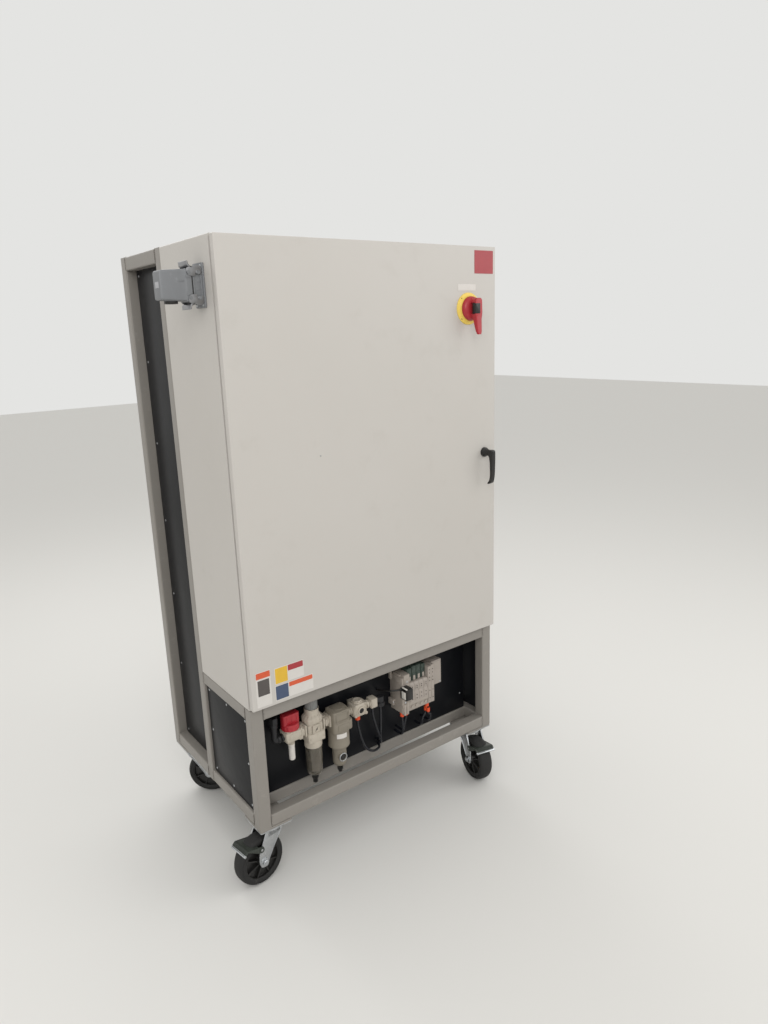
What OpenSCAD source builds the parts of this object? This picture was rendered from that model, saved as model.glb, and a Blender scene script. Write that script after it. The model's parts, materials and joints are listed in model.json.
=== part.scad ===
// Control cabinet of an injection moulding unit, on a welded stand with four castors.
// +X runs along the door's width, +Y from the door to the rear, +Z up from the floor.
// The origin is on the floor, under the middle of the overall box.

/* [Cabinet] */
// Width of the enclosure body, across its side walls
cab_w = 914.4; // [820:0.1:1100]
// Height of the door
door_h = 1219.2; // [1120:0.1:1400]
// Depth of the enclosure body, from its front flange to its back wall
body_depth = 308.8; // [260:0.1:420]
// Depth of the door pan
door_depth = 20; // [18:0.5:24]
// Thickness of the painted sheet
sheet = 1.9; // [1.2:0.1:2.4]
// Bend radius of the sheet's outer corners
bend_r = 3; // [2:0.5:6]
// Gap between the door pan's rear edge and the body's front flange
door_gap = 4; // [3:0.5:6]
// How far each side edge of the door stays inside the body's side wall
side_gap = 1; // [0.5:0.5:3]
// How far the body's roof rises over the door's upper edge
top_gap = 1.5; // [0.5:0.5:5]
// How far the body's underside lies below the door's lower edge
low_gap = 5.6; // [2:0.1:8]
// Distance of the sealing collar from the body's sides
collar_inset = 32; // [31:1:40]
// Length of the sealing collar in front of the front flange
collar_len = 10; // [6:1:12]
// Width of the door's foam gasket
gasket_w = 11; // [8:1:14]

/* [Stand] */
// Outer width of the square steel tube
tube = 38.1; // [32:0.1:50]
// Wall of the square tube
tube_wall = 2; // [1.5:0.5:3]
// Clear height between the bottom rails and the rails under the cabinet
bay_h = 302; // [260:1:400]
// How far the stand's front posts stay behind the door's front face
post_setback = 16.7; // [10:0.1:22]
// Depth of the rear bay, behind the enclosure, over its own posts
rear_bay = 319.6; // [240:0.1:450]
// Distance from the front posts' face to the rail that carries the air unit panel
unit_rail_back = 92; // [85:1:120]
// How far the air unit's panel stands behind its rail's front face
panel_back = 4; // [2:1:10]
// Thickness of the black panels
panel_t = 3; // [2:0.5:5]
// How far the rear bay's panels stay inside the tubes' outer faces
panel_inset = 30; // [24:1:33]

/* [Castors] */
// Height of a castor, from the floor to its top plate's upper face
castor_h = 184.5; // [175:0.5:200]
// Wheel diameter
wheel_d = 152.4; // [130:0.1:155]
// Wheel tread width
wheel_w = 46; // [36:1:50]
// Distance from the swivel axis to the wheel's axle
trail = 45; // [38:1:50]
// Radius of the axle
axle_r = 6; // [5:0.5:8]
// Radius of the king pin
king_r = 8; // [6:0.5:10]
// Radial running clearance of wheels, forks and knobs
run_gap = 0.06; // [0.02:0.01:0.1]
// Thickness of the plates that are welded under the stand's corners
pad_t = 6; // [5:0.5:8]
// Width of a castor's top plate and of its welded plate
pad_w = 104; // [98:1:115]

/* [Door Fittings] */
// Distance of the latch handle's axis below the door's upper edge
handle_drop = 617.2; // [520:0.1:700]
// Distance from the handle's axis to the body's right side
handle_side = 48; // [46:1:60]
// Length of the handle's lever below its axis
lever_len = 100; // [80:1:130]
// How far the handle's lever stands out in front of the door
lever_out = 44; // [42:1:60]
// Distance of the main switch's axis below the door's upper edge
switch_drop = 177.7; // [168:0.1:300]
// Distance from the main switch's axis to the body's right side
switch_side = 114; // [104:1:140]
// Diameter of the main switch's round yellow plate
switch_plate_d = 92; // [80:1:100]
// Length of the main switch's grip below its axis
switch_grip = 75; // [68:1:84]

/* [Connector] */
// How far the connector's hood stands out from the cabinet's left side
hood_reach = 109; // [100:1:130]
// Distance of the connector's centre below the door's upper edge
plug_drop = 112.2; // [95:0.1:200]
// Distance from the door's front face to the connector's centre
plug_y = 88; // [85:1:110]
// Height of the connector's wall housing
plug_h = 104; // [98:1:120]
// Width of the connector's wall housing
plug_w = 56; // [52:1:60]

/* [Air Unit] */
// Distance from the cabinet's left side to the shut-off valve's axis
shutoff_x = 147; // [142:1:156]
// Width of the shut-off valve's body
shut_w = 52; // [48:1:56]
// Depth of the air unit's middle plane behind the door's front face
unit_y = 73; // [71:0.5:75]
// Height of the row's port axis, below the door's lower edge
port_drop = 155; // [148:1:162]
// Width of the filter regulator's body
reg_w = 58; // [54:1:62]
// Width of the mist separator's head
sep_w = 70; // [64:1:75]
// Distance from the cabinet's left side to the valve manifold
manifold_x = 546; // [542:1:560]
// Width of one valve
valve_w = 18.5; // [16:0.5:22]
// Number of valves
valve_n = 4; // [3:1:5]
// Outer diameter of the air tubes
air_tube_d = 8; // [6:1:10]

/* [Hidden] */

$fn = 48;
eps = 0.01;
// Seat gap between pieces that only rest on each other
seat = 0.3;

// Depths, from the door's front face
body_y = door_depth + door_gap;
body_back = body_y + body_depth;
stand_back = body_back + rear_bay;
// Heights, from the door's lower edge
body_low = -low_gap;
body_top = door_h + top_gap;
body_h = body_top - body_low;
top_rail_z = body_low - tube;
low_rail_z = top_rail_z - bay_h - tube;
pad_z = low_rail_z - pad_t;
floor_drop = castor_h - pad_z;
// Heights of the door fittings and the connector
handle_z = door_h - handle_drop;
switch_z = door_h - switch_drop;
plug_z = door_h - plug_drop;

// Stand
tube_r = 4;
tube_in = tube - 2 * tube_wall;
cap_t = 3;
right_post_x = cab_w - tube;
mid_post_y = body_back;
rear_post_y = stand_back - tube;
unit_rail_y = post_setback + unit_rail_back;
unit_panel_y = unit_rail_y + panel_back;
unit_panel_z = low_rail_z + tube;

// Castors: swivel axes and the way that each wheel trails
pad_inset = pad_w / 2;
castor_at = [
    [pad_inset, post_setback + pad_inset],
    [cab_w - pad_inset, post_setback + pad_inset],
    [pad_inset, stand_back - pad_inset],
    [cab_w - pad_inset, stand_back - pad_inset]];
castor_turn = [188, -103, -38, -165];
// Tread outline: distances from the axle and from the wheel's middle plane
tread_points = [[wheel_d / 2, wheel_w / 2 - 12], [wheel_d / 2 - 2, wheel_w / 2 - 5], [wheel_d / 2 - 6, wheel_w / 2]];
// How far the front right castor's wheel reaches in front of the door's face
turn_sin = abs(sin(castor_turn[1]));
turn_cos = abs(cos(castor_turn[1]));
tread_reach = max([for (p = tread_points) p[0] * turn_sin + p[1] * turn_cos]);
wheel_front = tread_reach + trail * turn_sin - castor_at[1][1];
front_reach = max(lever_out, wheel_front);
// Place of the door's lower left corner in the part's frame
origin_x = (hood_reach - cab_w) / 2;
origin_y = (front_reach - stand_back) / 2;
origin_z = floor_drop;
plate_t = 4;
bolt_r = 5;
plate_hole_in = 14;
cup_h = 7;
cup_r = 34;
crown_h = 9;
crown_r = 36;
crown_z = -plate_t - cup_h - seat;
axle_z = wheel_d / 2 - castor_h;
leg_t = 4;
hub_gap = 1;
hub_w = wheel_w + 6;
leg_in = hub_w / 2 + hub_gap;
// Brake pedal: pivot stubs on the fork, and the ears that turn on them
brake_u = trail + 8;
brake_z = axle_z + 47;
stub_r = 4;
ear_t = 3;
ear_y = leg_in + leg_t + seat;
stub_len = leg_t + seat + ear_t + 1;

// Colours
frame_grey = "#8e8a84";
cabinet_grey = "#c6c2bc";
panel_black = "#1b1c1f";
rubber_black = "#171717";
zinc = "#c4c6c8";
off_white = "#d8d2c4";

// Outline of a rectangle with round corners, its lower left corner at the origin
function arc(x, y, r, start, n) =
    [for (i = [0:n]) [x + r * cos(start + 90 * i / n), y + r * sin(start + 90 * i / n)]];
function round_rect(w, d, r, n = 4) = concat(
    arc(w - r, d - r, r, 0, n), arc(r, d - r, r, 90, n),
    arc(r, r, r, 180, n), arc(w - r, r, r, 270, n));

// Moves a piece from the door's lower left corner to the part's frame
module place() {
    translate([origin_x, origin_y, origin_z]) children();
}

// Extrudes an outline drawn in X and Z along +Y
module along_y(length) {
    translate([0, length, 0]) rotate([90, 0, 0]) linear_extrude(length) children();
}

// Extrudes an outline drawn in Y and Z along +X
module along_x(length) {
    rotate([90, 0, 90]) linear_extrude(length) children();
}

// A block with round upright edges
module block(size, r) {
    linear_extrude(size[2]) polygon(round_rect(size[0], size[1], r));
}

// A pin or disc along +Y
module pin_y(r, length) {
    rotate([-90, 0, 0]) cylinder(r = r, h = length);
}

// A pin or disc along +X
module pin_x(r, length) {
    rotate([0, 90, 0]) cylinder(r = r, h = length);
}

// ---- Stand

module tube_profile() {
    difference() {
        polygon(round_rect(tube, tube, tube_r));
        translate([tube_wall, tube_wall])
            polygon(round_rect(tube_in, tube_in, tube_r - tube_wall / 2));
    }
}

module post(x, y, low, high) {
    translate([x, y, low]) linear_extrude(high - low) tube_profile();
}

module rail_x(x0, x1, y, z) {
    translate([x0, y, z]) along_x(x1 - x0) tube_profile();
}

module rail_y(x, y0, y1, z) {
    translate([x, y0, z]) along_y(y1 - y0) tube_profile();
}

module stand_posts() {
    color(frame_grey) place() {
        for (x = [0, right_post_x]) {
            post(x, post_setback, low_rail_z, body_low);
            for (y = [mid_post_y, rear_post_y]) {
                post(x, y, low_rail_z, body_top);
                translate([x + tube_wall, y + tube_wall, body_top - cap_t])
                    block([tube_in, tube_in, cap_t], tube_r - tube_wall / 2);
            }
        }
    }
}

module cross_rails() {
    color(frame_grey) place() {
        for (y = [post_setback, mid_post_y, rear_post_y])
            rail_x(tube, right_post_x, y, low_rail_z);
        rail_x(tube, right_post_x, unit_rail_y, low_rail_z);
        rail_x(tube, right_post_x, post_setback, top_rail_z);
        rail_x(tube, right_post_x, mid_post_y, top_rail_z);
        rail_x(tube, right_post_x, mid_post_y, body_top - tube);
        rail_x(tube, right_post_x, rear_post_y, body_top - tube);
    }
}

module side_rails() {
    color(frame_grey) place() {
        for (x = [0, right_post_x]) {
            rail_y(x, post_setback + tube, mid_post_y, low_rail_z);
            rail_y(x, post_setback + tube, mid_post_y, top_rail_z);
            rail_y(x, mid_post_y + tube, rear_post_y, low_rail_z);
            rail_y(x, mid_post_y + tube, rear_post_y, body_top - tube);
        }
    }
}

// ---- Castors

module at_castor(i) {
    place() translate([castor_at[i][0], castor_at[i][1], pad_z]) children();
}

module at_plate_holes() {
    for (x = [-1, 1], y = [-1, 1])
        translate([x * (pad_w / 2 - plate_hole_in), y * (pad_w / 2 - plate_hole_in), 0]) children();
}

module plate_blank(t) {
    translate([-pad_w / 2, -pad_w / 2, -t]) block([pad_w, pad_w, t], 6);
}

// Plates welded under the corners, with threaded holes for the castor bolts
module castor_pads() {
    color(frame_grey)
        for (i = [0:3]) at_castor(i) translate([0, 0, pad_t]) difference() {
            plate_blank(pad_t);
            at_plate_holes() translate([0, 0, -pad_t - 1]) cylinder(r = bolt_r + run_gap, h = pad_t + 2);
        }
}

module castor_plates() {
    color(zinc)
        for (i = [0:3]) at_castor(i) {
            plate_blank(plate_t);
            at_plate_holes() {
                translate([0, 0, -plate_t - 6]) cylinder(r = 8, h = 6, $fn = 6);
                translate([0, 0, -plate_t / 2]) cylinder(r = bolt_r, h = plate_t / 2 + pad_t - 1);
            }
            translate([0, 0, -plate_t - cup_h]) cylinder(r1 = cup_r - 3, r2 = cup_r, h = cup_h);
            translate([0, 0, crown_z - crown_h - 10]) cylinder(r = king_r, h = crown_h + 14);
            translate([0, 0, crown_z - crown_h - 10]) cylinder(r = king_r + 5, h = 9, $fn = 6);
        }
}

// Side view of one fork leg, from the crown down to the axle
module leg_outline() {
    polygon([
        [-26, crown_z - 2], [30, crown_z - 2], [trail + 16, axle_z + 34],
        [trail + 17, axle_z], [trail + 12, axle_z - 12], [trail, axle_z - 17],
        [trail - 12, axle_z - 12], [trail - 17, axle_z], [4, axle_z + 42], [-26, crown_z - 22]]);
}

module fork(i) {
    color(zinc) at_castor(i) rotate([0, 0, castor_turn[i]]) {
        difference() {
            union() {
                translate([0, 0, crown_z - crown_h]) cylinder(r = crown_r, h = crown_h);
                for (side = [-1, 1])
                    translate([0, side > 0 ? leg_in : -leg_in - leg_t, 0]) along_y(leg_t) leg_outline();
                translate([trail, -leg_in - leg_t - 6, axle_z])
                    pin_y(axle_r, 2 * leg_in + 2 * leg_t + 12);
                for (side = [-1, 1])
                    translate([trail, side > 0 ? leg_in + leg_t : -leg_in - leg_t - 6, axle_z])
                        rotate([-90, 0, 0]) cylinder(r = axle_r + 4, h = 6, $fn = 6);
                if (i < 2)
                    for (side = [-1, 1])
                        translate([brake_u, side > 0 ? leg_in : -leg_in - stub_len, brake_z])
                            pin_y(stub_r, stub_len);
            }
            translate([0, 0, crown_z - crown_h - 1]) cylinder(r = king_r + run_gap, h = crown_h + 2);
        }
    }
}

// Half of the wheel's section: tread, web and hub, with the bore left open
module wheel_section() {
    rim = wheel_d / 2;
    half = wheel_w / 2;
    polygon([
        [axle_r + run_gap, -hub_w / 2], [axle_r + 10, -hub_w / 2], [axle_r + 13, -half + 8],
        [rim - 26, -half + 9], [rim - 18, -half + 1], [rim - 6, -half], [rim - 2, -half + 5],
        [rim, -half + 12], [rim, half - 12], [rim - 2, half - 5], [rim - 6, half],
        [rim - 18, half - 1], [rim - 26, half - 9], [axle_r + 13, half - 8],
        [axle_r + 10, hub_w / 2], [axle_r + run_gap, hub_w / 2]]);
}

module wheel(i) {
    color(rubber_black) at_castor(i) rotate([0, 0, castor_turn[i]])
        translate([trail, 0, axle_z]) rotate([-90, 0, 0]) rotate_extrude($fn = 72) wheel_section();
}

// Brake pedal: a bent plate on two ears that turn on stub pins outside the fork's legs
module brake(i) {
    color("#3c4038") at_castor(i) rotate([0, 0, castor_turn[i]]) {
        for (side = [-1, 1])
            translate([0, side > 0 ? ear_y : -ear_y - ear_t, 0])
                difference() {
                    along_y(ear_t) polygon([
                        [brake_u - 8, brake_z - 8], [brake_u + 8, brake_z - 8],
                        [trail + 52, axle_z + 64], [trail + 54, axle_z + 68],
                        [brake_u + 8, brake_z + 12], [brake_u - 8, brake_z + 8]]);
                    translate([brake_u, -1, brake_z]) pin_y(stub_r + run_gap, ear_t + 2);
                }
        translate([0, -ear_y - ear_t, 0])
            along_y(2 * (ear_y + ear_t)) polygon([
                [trail + 52, axle_z + 64], [trail + 66, axle_z + 53],
                [trail + 68, axle_z + 56], [trail + 54, axle_z + 68]]);
    }
}

module fork_front_left() fork(0);
module fork_front_right() fork(1);
module fork_rear_left() fork(2);
module fork_rear_right() fork(3);
module wheel_front_left() wheel(0);
module wheel_front_right() wheel(1);
module wheel_rear_left() wheel(2);
module wheel_rear_right() wheel(3);
module brake_front_left() brake(0);
module brake_front_right() brake(1);

// ---- Panels

module bay_side_panels() {
    color(panel_black) place()
        for (x = [tube - panel_inset, cab_w - tube + panel_inset - panel_t])
            translate([x, post_setback + tube + 1, low_rail_z + tube])
                cube([panel_t, mid_post_y - post_setback - tube - 2, bay_h]);
}

// Plate behind the air unit, with its upper and lower edges folded to the rear
module unit_panel() {
    color(panel_black) place() translate([tube + 1, unit_panel_y, 0])
        along_x(cab_w - 2 * tube - 2) polygon([
            [0, unit_panel_z], [18, unit_panel_z], [18, unit_panel_z + panel_t],
            [panel_t, unit_panel_z + panel_t], [panel_t, body_low - seat - panel_t],
            [18, body_low - seat - panel_t], [18, body_low - seat], [0, body_low - seat]]);
}

// Side, top and rear panels of the bay behind the enclosure
module rear_panels() {
    color(panel_black) place() {
        for (x = [panel_inset, cab_w - panel_inset - panel_t])
            translate([x, mid_post_y + tube + 1, low_rail_z + tube])
                cube([panel_t, rear_bay - 2 * tube - 2, body_top - low_rail_z - 2 * tube]);
        translate([tube + 1, stand_back - panel_inset, low_rail_z + tube])
            cube([cab_w - 2 * tube - 2, panel_t, body_top - low_rail_z - 2 * tube]);
    }
}

// ---- Enclosure

// Outline of the enclosure in X and Z, drawn back by inset on every side
module body_outline(inset) {
    translate([inset, body_low + inset])
        polygon(round_rect(cab_w - 2 * inset, body_h - 2 * inset, max(bend_r - inset, 0.5)));
}

// Threaded studs that carry the mounting plate
stud_r = 4;
mp_x = 30;
mp_t = 3;
nut_r = 8;
stud_in = mp_x + mp_t + nut_r + 1;
stud_len = 22;
plate_y = body_back - sheet - stud_len;
stud_at = [for (x = [stud_in, cab_w - stud_in], z = [body_low + stud_in, body_top - stud_in]) [x, z]];
// Gap in the latch side's flange and collar for the latch cam
notch_h = 44;
handle_x = cab_w - handle_side;
switch_x = cab_w - switch_side;
cut_h = plug_h - 30;
cut_w = plug_w - 18;
roof_hole_r = 6;
roof_hole_y = body_y + 26;
roof_hole_x = [cab_w - 158, cab_w - 118];

// Depth over the front flange and its sealing collar
front_d = collar_len + sheet;
// The two strips stand inside the right side wall, above and below the latch cam's gap
strip_x = cab_w - collar_inset - sheet;
strip_w = collar_inset;
strip_end = collar_inset + 12;

// Folded box with its front flange, sealing collar, connector cut-out and roof holes
module body_shell() {
    difference() {
        union() {
            difference() {
                translate([0, body_y, 0]) along_y(body_depth) body_outline(0);
                translate([0, body_y + sheet, 0])
                    along_y(body_depth - 2 * sheet) body_outline(sheet);
            }
            translate([0, body_y - collar_len, 0])
                along_y(collar_len + sheet / 2) body_outline(collar_inset);
        }
        translate([0, body_y - collar_len - 1, 0])
            along_y(front_d + 2) body_outline(collar_inset + sheet);
    }
}

module strip_zone(low, high) {
    translate([strip_x - eps, body_y - collar_len - eps, low])
        cube([strip_w + eps, front_d + 2 * eps, high - low]);
}

module enclosure_body() {
    color(cabinet_grey) place() {
        difference() {
            body_shell();
            strip_zone(body_low + strip_end, body_top - strip_end);
            translate([-1, plug_y - cut_w / 2, plug_z - cut_h / 2]) cube([sheet + 2, cut_w, cut_h]);
            for (x = roof_hole_x)
                translate([x, roof_hole_y, body_top - sheet - 1]) cylinder(r = roof_hole_r, h = sheet + 2);
        }
        for (at = stud_at)
            translate([at[0], plate_y - 12, at[1]]) pin_y(stud_r, stud_len + 12 + sheet / 2);
    }
}

// Flange and collar strips on the latch side
module latch_flanges() {
    color(cabinet_grey) place() intersection() {
        body_shell();
        union() {
            strip_zone(body_low + strip_end, handle_z - notch_h / 2);
            strip_zone(handle_z + notch_h / 2, body_top - strip_end);
        }
    }
}

module roof_plugs() {
    color("#e4e2dc") place()
        for (x = roof_hole_x) translate([x, roof_hole_y, body_top]) {
            cylinder(r1 = roof_hole_r + 5, r2 = roof_hole_r + 2, h = 3);
            translate([0, 0, -sheet - 4]) cylinder(r = roof_hole_r - 0.2, h = sheet + 5);
        }
}

mp_fold = 14;
mp_front = plate_y - mp_t;
mp_low = body_low + 30;
mp_high = body_top - 30;

// Mounting plate with folded side edges, held on the studs by nuts
module mounting_plate() {
    color("#d9dadb") place() {
        difference() {
            union() {
                translate([mp_x, mp_front, mp_low]) cube([cab_w - 2 * mp_x, mp_t, mp_high - mp_low]);
                for (x = [mp_x, cab_w - mp_x - mp_t])
                    translate([x, mp_front, mp_low]) cube([mp_t, mp_fold, mp_high - mp_low]);
            }
            for (at = stud_at)
                translate([at[0], mp_front - 1, at[1]]) pin_y(stud_r + 0.5, mp_t + 2);
        }
        for (at = stud_at) translate([at[0], mp_front - 6, at[1]]) difference() {
            rotate([-90, 0, 0]) cylinder(r = nut_r, h = 6, $fn = 6);
            translate([0, -1, 0]) pin_y(stud_r + run_gap, 8);
        }
    }
}

// ---- Door

door_w = cab_w - 2 * side_gap;
pan_lip = 12;
handle_bore_r = 8;
switch_bore_r = 9;

module door_outline(inset) {
    translate([side_gap + inset, inset])
        polygon(round_rect(door_w - 2 * inset, door_h - 2 * inset, max(bend_r - inset, 0.5)));
}

module door() {
    color(cabinet_grey) place() difference() {
        along_y(door_depth) door_outline(0);
        translate([0, sheet, 0]) along_y(door_depth - 2 * sheet) door_outline(sheet);
        translate([side_gap + sheet, door_depth - sheet - 1, pan_lip])
            cube([door_w - pan_lip - sheet, sheet + 2, door_h - 2 * pan_lip]);
        translate([handle_x, -1, handle_z]) pin_y(handle_bore_r, sheet + 2);
        translate([switch_x, -1, switch_z]) pin_y(switch_bore_r, sheet + 2);
    }
}

// Hinges: the pin stands inside the pan's left edge, a little behind the front sheet
hinge_x = 8;
hinge_y = 8;
hinge_pin_r = 2.5;
knuckle_r = 4.6;
knuckle_h = 30;
leaf_t = 2;
arm_x = hinge_x + 14;
hinge_margin = 150;
hinge_at = [for (k = [0:2]) hinge_margin + k * (door_h - 2 * hinge_margin) / 2];

// Gooseneck leaves on the enclosure body, one for each hinge
module hinge_seats() {
    color(cabinet_grey) place()
        for (z = hinge_at) translate([0, 0, z - knuckle_h / 2]) difference() {
            union() {
                translate([hinge_x, hinge_y, 0]) cylinder(r = knuckle_r, h = knuckle_h);
                translate([hinge_x, hinge_y - leaf_t / 2, 0])
                    cube([arm_x + leaf_t - hinge_x, leaf_t, knuckle_h]);
                translate([arm_x, hinge_y - leaf_t / 2, 0])
                    cube([leaf_t, body_y - hinge_y + leaf_t / 2, knuckle_h]);
            }
            translate([hinge_x, hinge_y, -1])
                cylinder(r = hinge_pin_r + run_gap, h = knuckle_h + 2);
        }
}

// Door leaves: two lugs behind the front sheet that hold the pin on both sides of the seat
module hinge_leaves() {
    color(zinc) place()
        for (z = hinge_at) {
            translate([hinge_x, hinge_y, z - knuckle_h / 2 - 16])
                cylinder(r = hinge_pin_r, h = knuckle_h + 32);
            for (low = [z - knuckle_h / 2 - 14 - seat, z + knuckle_h / 2 + seat])
                translate([0, 0, low]) linear_extrude(14) polygon([
                    [hinge_x - 4, sheet], [hinge_x + 18, sheet], [hinge_x + 18, sheet + 2.5],
                    [hinge_x + 5, hinge_y - 1], [hinge_x + 3.5, hinge_y + 3.2],
                    [hinge_x - 1, hinge_y + 4.2], [hinge_x - 4, hinge_y + 2]]);
        }
}

gasket_in = collar_inset + sheet / 2 - gasket_w / 2;
module door_gasket() {
    color("#242424") place() difference() {
        translate([0, sheet, 0]) along_y(body_y - collar_len - sheet - seat) body_outline(gasket_in);
        translate([0, sheet - 1, 0]) along_y(body_y) body_outline(gasket_in + gasket_w);
    }
}

// Two hat-shaped stiffeners with a row of holes, welded behind the front sheet
stiff_x = [170, cab_w - 330];
stiff_h = door_h - 2 * (gasket_in + gasket_w) - 60;
module door_stiffeners() {
    color(cabinet_grey) place()
        for (x = stiff_x) translate([x, sheet, (door_h - stiff_h) / 2]) difference() {
            linear_extrude(stiff_h) polygon([
                [0, 0], [18, 0], [18, 16], [46, 16], [46, 0], [64, 0], [64, sheet],
                [46 + sheet, sheet], [46 + sheet, 16 + sheet], [18 - sheet, 16 + sheet],
                [18 - sheet, sheet], [0, sheet]]);
            for (z = [25:25:stiff_h - 20]) translate([32, 10, z]) pin_y(3.5, 12);
        }
}

// Latch handle: round boss on the door, lever that hangs down, shaft and cam inside
handle_r = 15;
shaft_r = 6;
lever_y = -lever_out;
cam_y = body_y + sheet + 2;
module handle_base() {
    color("#222120") place() translate([handle_x, 0, handle_z]) difference() {
        union() {
            translate([0, -7, 0]) pin_y(handle_r, 7);
            translate([0, -12, 0]) rotate([-90, 0, 0]) cylinder(r1 = handle_r - 5, r2 = handle_r - 1, h = 5);
            pin_y(handle_bore_r - 0.2, 9);
            translate([0, sheet, 0]) rotate([-90, 0, 0]) cylinder(r = handle_bore_r + 1.5, h = 6, $fn = 6);
        }
        translate([0, -13, 0]) pin_y(shaft_r + run_gap, 24);
    }
}

// Side view of the lever: neck out of the boss, knuckle, and a grip whose tip bends back
module lever_outline() {
    polygon([
        [-12.5, 8], [lever_y + 10, 13], [lever_y + 3, 11], [lever_y, 4],
        [lever_y, -lever_len * 0.55], [lever_y + 5, -lever_len * 0.8],
        [lever_y + 18, -lever_len], [lever_y + 22, -lever_len + 3],
        [lever_y + 16, -lever_len * 0.72], [lever_y + 13, -lever_len * 0.5],
        [lever_y + 15, -12], [lever_y + 22, -7], [-12.5, -8]]);
}

module handle_lever() {
    color("#1f1e1d") place() translate([handle_x, 0, handle_z]) {
        translate([-8, 0, 0]) along_x(16) lever_outline();
        translate([0, -13, 0]) pin_y(shaft_r, cam_y + 13 + 12);
    }
}

module latch_cam() {
    color(zinc) place() translate([handle_x, cam_y, handle_z]) difference() {
        union() {
            pin_y(11, 4);
            translate([0, 0, -9]) cube([34, 4, 18]);
        }
        translate([0, -1, 0]) pin_y(shaft_r + 0.02, 6);
    }
}

// Main switch: yellow plate, red grip with a padlock window, switch inside on its own shaft
switch_plate_h = 10;
knob_r = 35;
dome_h = 16;
grip_head = 29;
knob_out = 47;
module switch_plate() {
    color("#e6c229") place() translate([switch_x, 0, switch_z]) difference() {
        union() {
            translate([0, -3, 0]) pin_y(switch_plate_d / 2, 3);
            translate([0, -switch_plate_h, 0]) rotate([-90, 0, 0])
                cylinder(r1 = switch_plate_d / 2 - 12, r2 = switch_plate_d / 2 - 4, h = switch_plate_h - 3);
            pin_y(switch_bore_r - 0.2, 8);
        }
        translate([0, -switch_plate_h - 1, 0]) pin_y(5 + run_gap, switch_plate_h + 12);
    }
}

// Front view of the grip: broad head, waist and a tapered lever
module grip_outline() {
    polygon([
        [-9, grip_head], [9, grip_head], [13, grip_head - 6], [14, -16], [11, -30], [9, -switch_grip + 6],
        [5, -switch_grip], [-5, -switch_grip], [-9, -switch_grip + 6], [-11, -30], [-14, -16],
        [-13, grip_head - 6]]);
}

// Grip with a dome over the plate, and a hollow through its head for padlocks
module switch_knob() {
    knob_back = -switch_plate_h - seat;
    color("#b3262e") place() translate([switch_x, 0, switch_z]) {
        translate([0, knob_back, 0]) rotate([90, 0, 0]) {
            cylinder(r = knob_r, h = dome_h - 6);
            translate([0, 0, dome_h - 7]) cylinder(r1 = knob_r, r2 = knob_r - 9, h = 7);
        }
        difference() {
            translate([0, -knob_out, 0]) along_y(knob_out - switch_plate_h - 8) grip_outline();
            translate([-20, -knob_out + 5, -18]) cube([40, knob_out - switch_plate_h - dome_h - 6, 34]);
        }
        translate([0, -switch_plate_h - 2, 0]) pin_y(5, switch_plate_h + 16);
    }
}

// ---- Inside the enclosure

duct_w = 50;
duct_d = 60;
duct_t = 1.5;
duct_cover = 2;
duct_lip = 0.8;
duct_end = 20;
duct_left = stud_in + nut_r + 2;
duct_right = cab_w - duct_left - duct_w;
// The top duct passes over the main switch; the others share the height below it
switch_body_h = 92;
duct_over_switch = 22;
duct_low = mp_low + duct_end;
duct_high = switch_z + switch_body_h / 2 + duct_over_switch;
duct_shares = [0, 0.29, 0.62, 1];
duct_levels = [for (share = duct_shares) duct_low + share * (duct_high - duct_low)];

// One length of slotted duct: a channel, and a cover that clips on
module duct(length) {
    difference() {
        translate([0, -duct_d, 0]) cube([duct_w, duct_d, length]);
        translate([duct_t, -duct_d - 1, duct_t])
            cube([duct_w - 2 * duct_t, duct_d + 1 - duct_t, length - 2 * duct_t]);
    }
    translate([-duct_lip, -duct_d - duct_cover, 0]) cube([duct_w + 2 * duct_lip, duct_cover, length]);
}

module wire_ducts() {
    color("#9a9c9c") place() {
        for (x = [duct_left, duct_right])
            translate([x, mp_front, duct_low]) duct(mp_high - mp_low - 2 * duct_end);
        for (z = duct_levels)
            translate([duct_left + duct_w + 2, mp_front, z + duct_w])
                rotate([0, 90, 0]) duct(duct_right - duct_left - duct_w - 4);
    }
}

// Top-hat rails in the middle of the two lower fields between the ducts
rail_h = 35;
rail_d = 7.5;
function field_low(k) = duct_levels[k] + duct_w;
function field_h(k) = duct_levels[k + 1] - field_low(k);
rail_levels = [for (k = [0, 1]) field_low(k) + field_h(k) / 2];
device_gap = 20;
device_x0 = duct_left + duct_w + device_gap;
device_x1 = duct_right - device_gap;

module din_rails() {
    color(zinc) place()
        for (z = rail_levels) translate([device_x0, mp_front, z - rail_h / 2])
            along_x(device_x1 - device_x0) polygon([
                [-1, 4], [-rail_d, 4], [-rail_d, 0], [-rail_d + 1, 0], [-rail_d + 1, 3], [0, 3],
                [0, rail_h - 3], [-rail_d + 1, rail_h - 3], [-rail_d + 1, rail_h], [-rail_d, rail_h],
                [-rail_d, rail_h - 4], [-1, rail_h - 4]]);
}

// Side view of a device, its points given as shares of the depth and height
module device_outline(depth, height, points) {
    polygon([for (p = points) [-p[0] * depth, p[1] * height]]);
}

// A row of equal devices on a rail, from a place along it
module rail_row(start, count, pitch, width, depth, height, level, points) {
    for (k = [0:count - 1])
        translate([device_x0 + start + k * pitch, mp_front - rail_d, rail_levels[level] - height / 2])
            along_x(width) device_outline(depth, height, points);
}

drive_n = 4;
drive_w = 72;
drive_d = 176;
drive_gap = 6;
drive_space = 50;
drive_h = field_h(2) - 2 * drive_space;
drive_z = field_low(2) + drive_space;

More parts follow.
